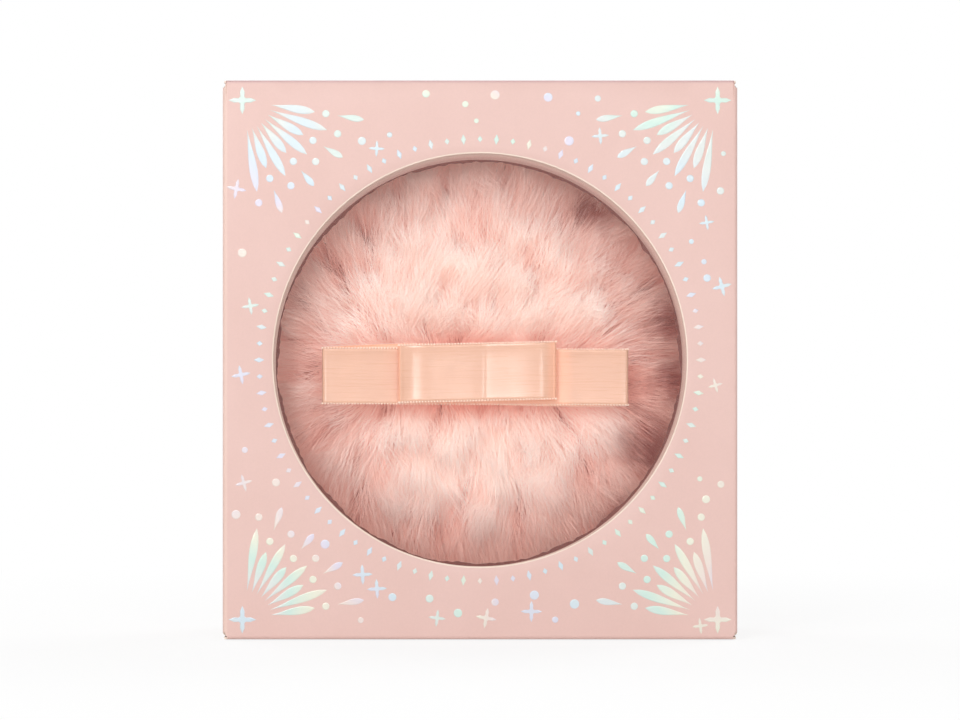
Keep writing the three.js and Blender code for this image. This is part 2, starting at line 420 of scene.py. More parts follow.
@dataclass(frozen=True)
class BoardFinish(Finish):
    """Folding boxboard: soft mottling, fine fibres and a slightly uneven face, with painted shade along the
    front's top edge and a painted highlight on its left crease.
    """

    deep: Colour = (0.5, 0.3, 0.25)
    mottle: float = 0.5
    fibre_depth: float = 0.00002
    front_level: float = -0.0219
    top_line: Pair = (0.12625, 0.12675)
    top_shade: Colour = (0.84, 0.8, 0.87)
    crease_x: float = -0.0579
    crease_highlight: Colour = (1.07, 1.13, 1.1)

    def pattern(self, g: Graph) -> dict[str, Value]:
        """Mottling in the colour, and fibres and a gentle wave in the relief.

        Args:
            g: The graph to be filled.

        Returns:
            What feeds the shader, by the socket's name.
        """
        cloud = g.noise(g.place, 38, 4, 0.6)
        grain = g.noise(g.place, 2600, 2, 0.6)
        mottled = g.mix(cloud.to((0.35, 0.75), (0.0, self.mottle)), self.colour, self.deep)
        speckled = mottled * grain.to((0.3, 0.7), (0.985, 1.015))
        fibres = g.noise(g.stretched(g.place, (1.0, 1.0, 0.25)), 1900, 5, 0.65)
        wave = g.noise(g.place, 21, 1, 0.4)
        fine = g.bump(fibres, self.fibre_depth, 0.5)
        return {
            "Base Color": self.edge_shade_and_highlight(g, speckled),
            "Normal": g.bump(wave, 0.0006, 0.35, Normal=fine),
            "Roughness": self.worn(grain, (0.2, 0.8), 0.05, 0.06),
        }

    def edge_shade_and_highlight(self, g: Graph, colour: Value) -> Value:
        """Paints shade along the front's pressed top edge, and a highlight where its left crease catches
        light.

        Args:
            g: The graph to be filled.
            colour: Colour of the flat board.

        Returns:
            The colour with the painted shade and highlight.
        """
        x, y, z = g.place.split()
        front = y.to((self.front_level, self.front_level + 0.0002), DOWN)
        # painted shade along the front's top edge
        top_shaded = g.mix(z.to(self.top_line, UP) * front, colour, self.top_shade, "MULTIPLY")
        # painted highlight along the front's left crease, where it catches light from the left
        crease = abs(x - self.crease_x).to((0.0002, 0.0006), DOWN) * front
        return g.mix(crease, top_shaded, self.crease_highlight, "MULTIPLY")


@dataclass(frozen=True)
class PlyFinish(BoardFinish):
    """Unprinted ply behind the window, with a painted glow that is strongest in a band just inside the
    window's rim.
    """

    window: Point = (0.0, 0.0, 0.0635)
    rim_glow: Colour = (0.9, 0.69, 0.58)
    base_glow: float = 0.28
    glow_from: Pair = (0.0459, 0.0469)
    glow_until: Pair = (0.0471, 0.0474)
    face_level: Pair = (-0.02115, -0.02105)

    def pattern(self, g: Graph) -> dict[str, Value]:
        """The board's own, and a painted glow: faint all over, strongest in a band near the window's rim on
        the side facing it.

        Args:
            g: The graph to be filled.

        Returns:
            What feeds the shader, by the socket's name.
        """
        spread = g.place.off_axis(self.window)
        # painted glow, strongest in a band just inside the window's rim, on the face towards the window
        painted_glow = spread.to(self.glow_from, UP) * spread.to(self.glow_until, DOWN)
        painted_glow = painted_glow * g.place.split()[1].to(self.face_level, DOWN)
        base_glow = tuple(channel * self.base_glow for channel in self.colour)
        return {**super().pattern(g), "Emission Color": g.mix(painted_glow, base_glow, self.rim_glow)}


@dataclass(frozen=True)
class FoilFinish(Finish):
    """Pale holographic foil, whose tint drifts across the sheet."""

    tints: tuple[Colour, ...] = ()
    bands: Point = (17.0, 0.0, 11.0)

    def pattern(self, g: Graph) -> dict[str, Value]:
        """Pastel bands that follow the place on the sheet, and a fine emboss.

        Args:
            g: The graph to be filled.

        Returns:
            What feeds the shader, by the socket's name.
        """
        angled = g.operate("DOT_PRODUCT", g.place, self.bands)
        turn = g.operate("FRACT", angled + g.noise(g.place, 26, 2, 0.5) * 2.2)
        count = len(self.tints) - 1
        emboss = g.noise(g.place, 1500, 3, 0.6)
        return {
            "Base Color": g.ramp(turn, [(index / count, tint) for index, tint in enumerate(self.tints)]),
            "Normal": g.bump(emboss, 0.00001, 0.25),
            "Roughness": self.worn(emboss, (0.3, 0.7), 0.06, 0.08),
        }


@dataclass(frozen=True)
class FilmFinish(Finish):
    """Clear polyester film with faint rub marks."""

    def pattern(self, g: Graph) -> dict[str, Value]:
        """A slow buckle and faint scuffs.

        Args:
            g: The graph to be filled.

        Returns:
            What feeds the shader, by the socket's name.
        """
        scuff = g.noise(g.place, 420, 4, 0.7)
        return {
            "Normal": g.bump(g.noise(g.place, 18, 1, 0.4), 0.0008, 0.4),
            "Roughness": self.worn(scuff, (0.45, 0.75), 0.0, 0.12),
        }


@dataclass(frozen=True)
class PileFinish(Finish):
    """Plush pile: deep red at the root, painted shade deep in the pile, pale at the tip, each lock a little
    different.
    """

    stops: tuple[tuple[float, Colour], ...] = ()
    # colour of the painted shade beside the bow
    bow_shade_tint: Colour = (0.8, 0.4, 0.3)
    bow_centre: Point = (-0.0011, 0.0, 0.0598)
    bow_half: Point = (0.0352, 0.0, 0.0066)
    bow_fade: float = 0.0042
    # colour of the painted shade over the pile's outer ring
    rim: Colour = (0.8, 0.6, 0.6)
    rim_shade_reach: Pair = (0.03, 0.05)
    rim_shade_fade: Pair = (0.0465, 0.0575)
    painted_light_centre: Point = (-0.001, 0.0, 0.0638)
    # colour that the pile glows with at the root, painted light
    root_glow: Colour = (0.66, 0.34, 0.29)
    hollow_shade: Colour = (0.46, 0.12, 0.09)
    shaded_hollows: tuple[Point, ...] = ()
    painted_fill: Colour = (0.985, 0.82, 0.74)
    painted_fill_reach: Pair = (0.02, 0.036)
    front_levels: Pair = (-0.003, 0.004)

    def pattern(self, g: Graph) -> dict[str, Value]:
        """Colours each fibre from root to tip and by lock, and paints light and shade by place behind the
        window: a fill of light in the middle, shade at the rim, beside the bow and where the locks part, and
        a glow.

        Args:
            g: The graph to be filled.

        Returns:
            What feeds the shader, by the socket's name.
        """
        spread = g.place.off_axis(self.painted_light_centre)
        front = g.place.split()[1].to(self.front_levels, DOWN)
        # painted light: in the middle of the front the roots are drawn paler and the colour pulled towards
        # one even pale tone, evening out the shade between fibres
        painted_fill = spread.to(self.painted_fill_reach, DOWN) * front
        along = g.attribute("along").most(painted_fill * 0.3)
        tinted = g.ramp(along, self.stops) * g.attribute("lock").to(UP, (0.84, 1.1))
        tinted = g.mix(painted_fill * 0.55, tinted, self.painted_fill)
        # painted shade beside the bow, tinted coral
        bow_shaded = g.mix(self.bow_shade_share(g, front), tinted, self.bow_shade_tint, "MULTIPLY")
        # painted shade: the pile's outer ring takes a deep brownish tone where the carton shades it, less
        # towards the pile's edge and on its back
        outer = spread.to(self.rim_shade_reach, UP) * spread.to(self.rim_shade_fade, (1.0, 0.25))
        outer = outer * front.to(UP, (0.4, 1.0))
        shaded = g.mix(outer, bow_shaded, self.rim, "MULTIPLY")
        parting_shade = self.parting_shade(g, front)
        # painted glow: the pile emits its own colour, redder towards the root, standing in for light
        # scattered through the fibres
        painted_glow = g.mix(along.to((0.1, 0.8), UP), self.root_glow, shaded)
        return {
            "Base Color": g.mix(parting_shade, shaded, self.hollow_shade, "MULTIPLY"),
            "Emission Color": g.mix(parting_shade, painted_glow, self.hollow_shade, "MULTIPLY"),
        }

    def bow_shade_share(self, g: Graph, front: Value) -> Value:
        """How much coral-tinted painted shade the pile gets beside the bow, most at the bow's middle.

        Args:
            g: The graph to be filled.
            front: One on the window's side.

        Returns:
            Share of the coral-tinted painted shade.
        """
        away = abs(g.place - self.bow_centre)
        x, _, z = (away - self.bow_half).split()
        near = x.most(z).to((0.0, self.bow_fade), (0.5, 0.0)) * front
        return near * away.split()[0].to((0.003, 0.03), (1.0, 0.15))

    def parting_shade(self, g: Graph, front: Value) -> Value:
        """How much painted shade the pile gets where its locks part, and at the listed crevices near the
        rim.

        Args:
            g: The graph to be filled.
            front: One on the window's side.

        Returns:
            Share of the painted shade.
        """
        # painted shade where the locks part and at the listed crevices near the rim
        parting_shade = g.attribute("opened").to((0.2, 0.8), DOWN)
        frayed = g.place + g.stray(g.place, 190, 2, 0.6) * 0.012
        for x, z, radius in self.shaded_hollows:
            near = frayed.off_axis((x, 0.0, z)).to((0.2 * radius, radius), (0.8, 0.0))
            parting_shade = parting_shade.most(near * front)
        return parting_shade


@dataclass(frozen=True)
class KnitFinish(Finish):
    """Fine knit or twisted yarn: small soft loops."""

    loops: float = 900
    depth: float = 0.0002

    def pattern(self, g: Graph) -> dict[str, Value]:
        """Loops in the relief, and painted shade in the recesses between them.

        Args:
            g: The graph to be filled.

        Returns:
            What feeds the shader, by the socket's name.
        """
        loop = g.get("ShaderNodeTexVoronoi", {"Vector": g.place, "Scale": self.loops}, "Distance")
        return {
            # painted shade between the loops
            "Base Color": self.colour * loop.to((0.0, 0.7), (1.05, 0.72)),
            "Normal": g.bump(loop, self.depth, 0.6),
        }


@dataclass(frozen=True)
class SatinFinish(Finish):
    """Satin ribbon: close lengthwise warp, a faint cross rib, a slow drift of tone, and a painted tone and
    glow of light through the satin.
    """

    shade: Colour = (0.8, 0.4, 0.28)
    # painted tone of light through the satin
    fold: Colour = (0.82, 0.38, 0.24)
    through_glow: Colour = (0.95, 0.42, 0.25)

    def pattern(self, g: Graph) -> dict[str, Value]:
        """Warp lines along the ribbon and a cross rib, from its own UV map in metres, and a painted tone and
        glow of light through the satin.

        Args:
            g: The graph to be filled.

        Returns:
            What feeds the shader, by the socket's name.
        """
        flat = g.get("ShaderNodeUVMap", uv_map="flat")
        warp = g.noise(g.stretched(flat, (60.0, 5200.0, 1.0)), 1, 3, 0.6)
        weft = g.noise(g.stretched(flat, (4200.0, 700.0, 1.0)), 1, 2, 0.5)
        drift = g.noise(flat, 130, 2, 0.5)
        lined = g.mix(warp.to((0.35, 0.7), (0.0, 0.035)), self.colour, self.shade)
        toned = lined * drift.to((0.3, 0.7), (0.97, 1.03))
        # painted light through the satin: where the mesh carries it, a deeper orange tone and a glow
        turned = g.attribute("turned")
        return {
            "Base Color": g.mix(turned, toned, self.fold),
            "Emission Color": self.through_glow * turned,
            "Normal": g.bump(weft * 0.5 + warp, 0.00001, 0.1),
            "Roughness": self.worn(warp, (0.3, 0.7), 0.03, 0.05),
        }


BOARD = BoardFinish(
    "printed_board", srgb(207, 174, 166), 0.5, coat=0.1, coat_roughness=0.4, deep=srgb(201, 166, 157))
BOARD_INSIDE = BoardFinish(
    "board_inside", srgb(182, 154, 143), 0.85, deep=srgb(172, 143, 132), fibre_depth=0.00004)
BOARD_EDGE = BoardFinish("board_edge", srgb(226, 208, 194), 0.9, deep=srgb(212, 190, 174))
FOLDED = (BOARD, BOARD_INSIDE, BOARD_EDGE)
# The ply glows: painted light, strongest near the window's rim.
INNER_PLY = PlyFinish(
    "unprinted_ply", srgb(158, 119, 110), 0.85, glow=0.35, deep=srgb(148, 109, 100), fibre_depth=0.00004)
# The ply's cut edge is painted dark brown: a painted shadow line where the pile meets the ply.
PLY_EDGE_SHADE = BoardFinish("ply_edge", srgb(118, 66, 58), 0.95, deep=srgb(100, 52, 46))
FOIL = FoilFinish("foil", srgb(192, 197, 194), 0.42, metallic=0.3, tints=(
    srgb(194, 198, 195), srgb(180, 202, 193), srgb(204, 204, 188), srgb(206, 193, 186),
    srgb(195, 189, 203), srgb(183, 197, 205), srgb(194, 198, 195)))
FILM = FilmFinish("clear_film", srgb(190, 194, 196), 0.05, alpha=0.025, specular=0.8)
# The pile's glow is painted light, and its rim colour is painted shade.
PILE = PileFinish(
    "plush_pile", srgb(246, 216, 206), 0.95, sheen=0.12, specular=0.12, glow=0.22,
    rim=(0.74, 0.51, 0.465), rim_shade_reach=(0.03, 0.047), bow_shade_tint=srgb(250, 168, 140),
    shaded_hollows=((0.0395, 0.0435, 0.009), (0.0265, 0.0985, 0.0065), (0.0445, 0.0725, 0.0075),
             (0.033, 0.027, 0.006), (0.0445, 0.0585, 0.0065)),
    # the dark red root stops are painted shade deep in the pile
    stops=((0.0, srgb(182, 106, 92)), (0.14, srgb(228, 170, 156)), (0.36, srgb(250, 214, 202)),
           (0.75, srgb(255, 234, 225)), (1.0, srgb(255, 248, 242))))
# The backing glows: painted light at the bottom of the pile.
BACKING = KnitFinish("plush_backing", srgb(188, 118, 104), 0.95, glow=0.2)
THREAD = KnitFinish("sewing_yarn", srgb(240, 190, 168), 0.8, loops=2500, depth=0.00008)
# The picots glow: painted light on beads in shade.
PICOT = Finish("picot_yarn", srgb(252, 226, 208), 0.5, sheen=0.4, glow=0.12)
# The satin's glow is painted light through it, on the back layer, at the ends and under the short loop.
SATIN = SatinFinish(
    "peach_satin", srgb(217, 165, 137), 0.28, sheen=0.2, coat=0.5, coat_roughness=0.22,
    specular=0.8, glow=0.28, shade=srgb(214, 152, 124))


def dress(node: str, finish: Finish) -> None:
    """Gives a CAD node that stays its finish.

    Args:
        node: The CAD node.
        finish: Its finish.
    """
    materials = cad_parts[node].data.materials
    materials.clear()
    materials.append(finish.material())


class MeshPart:
    """Collects points and faces, and makes one finished object of them."""

    def __init__(self, name: str) -> None:
        """Starts an empty part of that name."""
        self.name = name
        self.points: list[Point] = []
        self.faces: list[tuple[int, ...]] = []
        self.slots: list[int] = []

    def point(self, place: Iterable[float]) -> int:
        """Adds a point and returns its number."""
        self.points.append(tuple(place))
        return len(self.points) - 1

    def face(self, corners: Sequence[int], slot: int = 0) -> None:
        """Adds a face that shows the material in that slot."""
        self.faces.append(tuple(corners))
        self.slots.append(slot)

    def skin(self, rows: Sequence[Sequence[int]], slot: int = 0, closed: bool = False) -> None:
        """Joins rows of points, of equal length, by four-sided faces.

        Args:
            rows: The rows, in order.
            slot: Slot of their material.
            closed: Whether each row is a ring.
        """
        for first, second in zip(rows, rows[1:]):
            count = len(first)
            for index in range(count if closed else count - 1):
                after = (index + 1) % count
                self.face((first[index], first[after], second[after], second[index]), slot)

    def fan(self, ring: Sequence[int], tip: Point) -> None:
        """Closes a ring of points by faces that meet at a tip.

        Args:
            ring: The ring, in order.
            tip: Place of the tip.
        """
        centre = self.point(tip)
        for index, corner in enumerate(ring):
            self.face((corner, ring[(index + 1) % len(ring)], centre))

    def build(
        self, finishes: Sequence[Finish], smooth: bool = False, outward: Point | None = None
    ) -> bpy.types.Object:
        """Makes the object.

        Args:
            finishes: The materials of slots 0, 1 and on.
            smooth: Whether the faces are shaded smooth.
            outward: Which way an open sheet faces; a closed part needs none.

        Returns:
            The object, in the scene, with its faces pointing outwards.
        """
        mesh = bpy.data.meshes.new(self.name)
        mesh.from_pydata(self.points, [], self.faces)
        mesh.polygons.foreach_set("material_index", self.slots)
        for finish in finishes:
            mesh.materials.append(finish.material())
        with edited(mesh) as work:
            bmesh.ops.remove_doubles(work, verts=work.verts, dist=1e-7)
            bmesh.ops.recalc_face_normals(work, faces=work.faces)
            work.normal_update()
            if outward is not None:
                total = sum((each.normal * each.calc_area() for each in work.faces), Vector())
                if total.dot(Vector(outward)) < 0:
                    bmesh.ops.reverse_faces(work, faces=work.faces)
            for each in work.faces:
                each.smooth = smooth
        return placed(self.name, mesh)


def point_cloud(name: str, places: Sequence[Point], **carried: Iterable[Point]) -> bpy.types.Object:
    """Makes loose points, each with the vectors that it carries by name.

    Args:
        name: Name of the object.
        places: The points.
        carried: Name of each attribute to its vectors, one a point.

    Returns:
        The object.
    """
    mesh = bpy.data.meshes.new(name)
    mesh.from_pydata(places, [], [])
    for key, vectors in carried.items():
        store = mesh.attributes.new(key, "FLOAT_VECTOR", "POINT")
        store.data.foreach_set("vector", [channel for vector in vectors for channel in vector])
    return placed(name, mesh)


def settle(made: bpy.types.Object) -> bpy.types.Object:
    """Makes an object's modifiers part of its mesh, and returns the same object.

    Args:
        made: The object with live modifiers.

    Returns:
        The same object, with a plain mesh.
    """
    graph = bpy.context.evaluated_depsgraph_get()
    mesh = bpy.data.meshes.new_from_object(made.evaluated_get(graph), depsgraph=graph)
    made.modifiers.clear()
    old = made.data
    made.data = mesh
    bpy.data.meshes.remove(old)
    mesh.name = made.name
    return made


def thicken(made: bpy.types.Object, thickness: float, inside: int = 0, rim: int = 0) -> None:
    """Gives an open sheet a wall on the side away from its normals.

    Args:
        made: The sheet.
        thickness: The wall.
        inside: How many slots further on the inner face's material is.
        rim: How many slots further on the rim's material is.
    """
    wall = made.modifiers.new("wall", "SOLIDIFY")
    wall.thickness = thickness
    wall.offset = -1
    wall.use_even_offset = True
    wall.material_offset = inside
    wall.material_offset_rim = rim
    settle(made)


def finish_board(made: bpy.types.Object, thickness: float, sharp: float = 35) -> None:
    """Gives a skin of board its wall, inside and cut edge, with edges over an angle kept sharp.

    Args:
        made: The skin.
        thickness: The wall.
        sharp: The angle, in degrees.
    """
    thicken(made, thickness, inside=1, rim=2)
    for polygon in made.data.polygons:
        polygon.material_index = min(polygon.material_index, 2)
    made.data.shade_smooth()
    with edited(made.data) as work:
        for edge in work.edges:
            if len(edge.link_faces) == 2 and edge.calc_face_angle() > math.radians(sharp):
                edge.smooth = False


class NodeGroup(Graph):
    """A geometry tree with named inputs."""

    def __init__(self, name: str, **inputs: str) -> None:
        """Makes the tree with these inputs, and one geometry input and output.

        Args:
            name: Name of the tree.
            inputs: Name of each input to its kind.
        """
        super().__init__(bpy.data.node_groups.new(name, "GeometryNodeTree"))
        face = self.tree.interface
        face.new_socket("Geometry", in_out="INPUT", socket_type="NodeSocketGeometry")
        face.new_socket("Geometry", in_out="OUTPUT", socket_type="NodeSocketGeometry")
        for key, kind in inputs.items():
            face.new_socket(key, in_out="INPUT", socket_type=f"NodeSocket{kind}")
        self.entry = self.tree.nodes.new("NodeGroupInput")
        self.exit = self.tree.nodes.new("NodeGroupOutput")

    def input(self, name: str) -> Value:
        """The value of a named input."""
        return Value(self, self.entry.outputs[name])

    def store(self, geometry: Value, name: str, value: Value) -> Value:
        """Stores a value on each point, and returns the geometry.

        Args:
            geometry: The points.
            name: Name of the attribute.
            value: Its value.

        Returns:
            The points that carry it.
        """
        kind = "FLOAT" if value.single else "FLOAT_VECTOR"
        inputs = {"Geometry": geometry, "Name": name, "Value": value}
        return self.get("GeometryNodeStoreNamedAttribute", inputs, data_type=kind, domain="POINT")

    def read(self, name: str, kind: str = "FLOAT_VECTOR") -> Value:
        """Reads a stored value."""
        return self.get("GeometryNodeInputNamedAttribute", {"Name": name}, data_type=kind)

    def random(self, kind: str, lowest: object, highest: object, seed: object) -> Value:
        """A random number or vector for each point.

        Args:
            kind: Number or vector.
            lowest: Lower limit.
            highest: Upper limit.
            seed: The seed.

        Returns:
            The random value.
        """
        first = 0 if kind == "FLOAT_VECTOR" else 2
        inputs = {first: lowest, first + 1: highest, "Seed": seed}
        return self.get("FunctionNodeRandomValue", inputs, first // 2, data_type=kind)

    def stamp(self, points: Value, shape: str, rotation: Value, size: Value) -> Value:
        """Sets the object of a named input on every point.

        Args:
            points: The points.
            shape: Name of the input that gives the object.
            rotation: Each point's turn.
            size: Each point's size.

        Returns:
            The instances.
        """
        source = self.get(
            "GeometryNodeObjectInfo", {"Object": self.input(shape), "As Instance": True}, "Geometry")
        return self.get("GeometryNodeInstanceOnPoints", {
            "Points": points, "Instance": source, "Rotation": rotation, "Scale": size,
        })

    def close(self, geometry: Value) -> None:
        """Ends the tree: instances made real, and the material set.

        Args:
            geometry: What the tree has made.
        """
        real = self.get("GeometryNodeRealizeInstances", {"Geometry": geometry})
        inputs = {"Geometry": real, "Material": self.input("Finish")}
        self.feed(self.exit.inputs["Geometry"], self.get("GeometryNodeSetMaterial", inputs))

    def apply(self, made: bpy.types.Object, **values: object) -> None:
        """Runs the tree on an object's mesh with these input values, and settles the result.

        Args:
            made: The object whose mesh feeds the tree.
            values: Name of each input to its value.
        """
        live = made.modifiers.new("build", "NODES")
        live.node_group = self.tree
        sockets = {item.name: item.identifier for item in self.tree.interface.items_tree}
        for name, value in values.items():
            live[sockets[name]] = value
        settle(made)


class End(Enum):
    """Which end of the carton a closure shuts."""

    TOP = "top"
    BOTTOM = "bottom"


class Panel(Enum):
    """Which panels of the sleeve a column of its skin belongs to."""

    FRONT = "front"
    SIDE = "side"
    BACK = "back"


@dataclass
class Carton:
    """The creased blank: a sleeve with a round window, glued behind one flap."""

    board: float = 0.5 * MM
    corner: float = 0.8 * MM
    corner_steps: int = 5
    window_steps: int = 120
    front_shares: tuple[float, ...] = (0.12, 0.4, 0.7, 1.0)
    cut_bevel: float = 0.28 * MM
    cut_sink: float = 0.12 * MM
    raw_bevel: float = 0.35 * MM
    raw_sink: float = 0.2 * MM
    film_overlap: float = 6 * MM
    ply_hole: float = 46.24 * MM
    ply_shift: Pair = (-0.23 * MM, -0.68 * MM)
    ply_steps: int = 480
    ply_torn: Pair = (0.15 * MM, 0.95 * MM)
    wall_columns: int = 10
    outer_low: Vector = field(default_factory=lambda: low("front_panel"))
    outer_high: Vector = field(default_factory=lambda: high("back_panel"))
    side_low: Vector = field(default_factory=lambda: low("left_side_panel"))
    side_high: Vector = field(default_factory=lambda: high("left_side_panel"))

    @property
    def window(self) -> tuple[float, float, float]:
        """X, Z and radius of the window, from the film that is glued behind it.

        Returns:
            X, Z and radius.
        """
        first, last = low("window_film"), high("window_film")
        middle = (first + last) / 2
        return middle.x, middle.z, (last.x - first.x) / 2 - self.film_overlap

    @property
    def reach(self) -> dict[Panel, Pair]:
        """Lowest and highest level of each panel, short of the creases at its ends.

        Returns:
            The two levels, by panel.
        """
        bottom, top = self.outer_low.z, self.outer_high.z
        return {
            Panel.FRONT: (bottom + self.corner, top),
            Panel.SIDE: (self.side_low.z + self.corner, self.side_high.z - self.corner),
            Panel.BACK: (bottom, top - self.corner),
        }

    @property
    def spans(self) -> tuple[float, float, float]:
        """Half width, depth below and height above the window's centre of the front's flat part.

        Returns:
            The three distances.
        """
        z = self.window[1]
        bottom, top = self.reach[Panel.FRONT]
        return self.outer_high.x - self.corner, z - bottom, top - z

    def build(self) -> None:
        """Makes the sleeve and dresses the pieces glued inside it."""
        sleeve = self.sleeve()
        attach(sleeve, "carton")
        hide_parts("front_panel", "back_panel", "left_side_panel", "right_side_panel")
        ply = self.ply()
        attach(ply, "carton")
        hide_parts("window_liner")
        dress("window_film", FILM)
        dress("glue_flap", BOARD_INSIDE)
        LOG.info("sleeve: %d faces", len(sleeve.data.polygons))

    def turns_of(self, wide: float, below: float, above: float, count: int) -> list[float]:
        """Angles all the way round, with one at each corner of a rectangle.

        Args:
            wide: Half width of the rectangle.
            below: Depth below the centre.
            above: Height above the centre.
            count: About how many angles.

        Returns:
            The angles, in order.
        """
        turns = [
            math.atan2(above, wide), math.pi - math.atan2(above, wide),
            math.pi + math.atan2(below, wide), 2 * math.pi - math.atan2(below, wide),
        ]
        angles = []
        for first, last in zip([turns[3] - 2 * math.pi, *turns], turns):
            steps = max(2, round(count * (last - first) / (2 * math.pi)))
            angles += [first + (last - first) * step / steps for step in range(steps)]
        return angles

    def edge(self, angle: float) -> float:
        """Distance from the window's centre to the edge of the front's flat part.

        Args:
            angle: Direction from the centre.

        Returns:
            The distance.
        """
        wide, below, above = self.spans
        across = abs(math.cos(angle)) / wide
        upward = math.sin(angle) / (above if math.sin(angle) > 0 else -below)
        return 1 / max(across, upward)

    def is_raw(self, angle: float) -> bool:
        """Whether the edge of the front is the free top edge there, not a crease."""
        return math.sin(angle) * self.edge(angle) > self.spans[2] - TINY

    def sleeve(self) -> bpy.types.Object:
        """Builds the four panels as one skin with rounded creases, then gives it its wall.

        Returns:
            The sleeve, with its wall.
        """
        part = MeshPart("carton_sleeve")
        x, z, radius = self.window
        front = self.outer_low.y
        angles = self.turns_of(*self.spans, self.window_steps)
        rings = []
        plan = [(0.0, self.cut_sink, 0.0), (0.0, 0.0, self.cut_bevel)]
        plan += [(share, 0.0, self.cut_bevel) for share in self.front_shares]
        for share, sink, out in plan:
            ring = []
            for angle in angles:
                start, last = radius + out, self.edge(angle)
                if share == 1.0 and self.is_raw(angle):
                    last -= self.raw_bevel
                span = start + (last - start) * share
                ring.append(part.point(around((x, front + sink, z), span, angle)))
            rings.append(ring)
        rim = list(rings[-1])
        for index, angle in enumerate(angles):
            if self.is_raw(angle):
                rim[index] = part.point(around((x, front + self.raw_sink, z), self.edge(angle), angle))
        part.skin(rings[:2], slot=2, closed=True)
        part.skin(rings[1:], closed=True)
        self.raw_edge(part, rings[-1], rim)
        self.walls(part, rim)
        made = part.build(FOLDED)
        finish_board(made, self.board)
        return made

    def ply(self) -> bpy.types.Object:
        """Builds the inner ply: a plate whose round hole lies a little lower than the window.

        Returns:
            The plate.
        """
        part = MeshPart("inner_ply")
        first, last = low("window_liner"), high("window_liner")
        middle, half = (first + last) / 2, (last - first) / 2
        x, z, _ = self.window
        hole_x, hole_z = x + self.ply_shift[0], z + self.ply_shift[1]
        front, rim, back_rim, back = [], [], [], []
        for angle in self.turns_of(half.x, half.z, half.z, self.ply_steps):
            span = 1 / max(abs(math.cos(angle)) / half.x, abs(math.sin(angle)) / half.z)
            torn = self.ply_hole - self.torn(angle)
            front.append(around((hole_x, first.y, hole_z), self.ply_hole, angle))
            rim.append(around((middle.x, first.y, middle.z), span, angle))
            back_rim.append(around((middle.x, last.y, middle.z), span, angle))
            back.append(around((hole_x, last.y, hole_z), torn, angle))
        rows = [[part.point(place) for place in ring] for ring in (front, rim, back_rim, back)]
        part.skin(rows, closed=True)
        # The bevelled cut edge gets the dark edge finish, a painted shadow line round the hole.
        part.skin([rows[-1], rows[0]], slot=1, closed=True)
        return part.build([INNER_PLY, PLY_EDGE_SHADE])

    def torn(self, angle: float) -> float:
        """How far the ply's cut edge runs in towards the back, unevenly round the hole.

        Args:
            angle: Direction from the hole's centre.

        Returns:
            The distance inwards.
        """
        across, upward = math.cos(angle), math.sin(angle)
        coarse = noise.noise(Vector((6 * across, 6 * upward, 0.0)))
        fine = noise.noise(Vector((31 * across, 31 * upward, 4.0)))
        share = min(max(0.45 + 0.8 * coarse + 0.5 * fine, 0.0), 1.0)
        return self.ply_torn[0] + (self.ply_torn[1] - self.ply_torn[0]) * share

    def raw_edge(self, part: MeshPart, ring: list[int], rim: list[int]) -> None:
        """Lays the bevel of cut board along the front's free top edge.

        Args:
            part: The part that gets the faces.
            ring: The front's last ring of points.
            rim: The sleeve's own edge.
        """
        for index in range(len(ring)):
            after = (index + 1) % len(ring)
            corners = list(dict.fromkeys([ring[index], ring[after], rim[after], rim[index]]))
            if len(corners) > 2:
                part.face(corners)

    def walls(self, part: MeshPart, rim: list[int]) -> None:
        """Runs the skin from the front's right edge round the back to its left edge.

        Args:
            part: The part that gets the faces.
            rim: The front's edge, whose levels the walls take up.
        """
        wide = self.outer_high.x - self.corner
        right = [index for index in rim if part.points[index][0] > wide - TINY]
        inner = sorted(part.points[index][2] for index in right)[1:-1]
        rows = []
        for x, y, panel in self.path():
            bottom, top = self.reach[panel]
            rows.append([part.point((x, y, level)) for level in (bottom, *inner, top)])
        part.skin(rows)

    def path(self) -> list[tuple[float, float, Panel]]:
        """Points of the sleeve's outline seen from above, from the front's right to its left.

        Returns:
            X, Y and panel of each point.
        """
        right, front = self.outer_high.x, self.outer_low.y
        back, turn = self.outer_high.y, self.corner
        corners = [
            (right - turn, front + turn, -90, Panel.FRONT, Panel.SIDE),
            (right - turn, back - turn, 0, Panel.SIDE, Panel.BACK),
            (-right + turn, back - turn, 90, Panel.BACK, Panel.SIDE),
            (-right + turn, front + turn, 180, Panel.SIDE, Panel.FRONT),
        ]
        points: list[tuple[float, float, Panel]] = []
        for x, y, start, before, after in corners:
            arc = []
            for step in range(self.corner_steps + 1):
                angle = math.radians(start + 90 * step / self.corner_steps)
                panel = before if step == 0 else after if step == self.corner_steps else Panel.SIDE
                arc.append((x + turn * math.cos(angle), y + turn * math.sin(angle), panel))
            if points:
                first, last = points[-1], arc[0]
                for share in (step / self.wall_columns for step in range(1, self.wall_columns)):
                    between = [first[axis] + (last[axis] - first[axis]) * share for axis in (0, 1)]
                    points.append((*between, before))
            points += arc
        return points


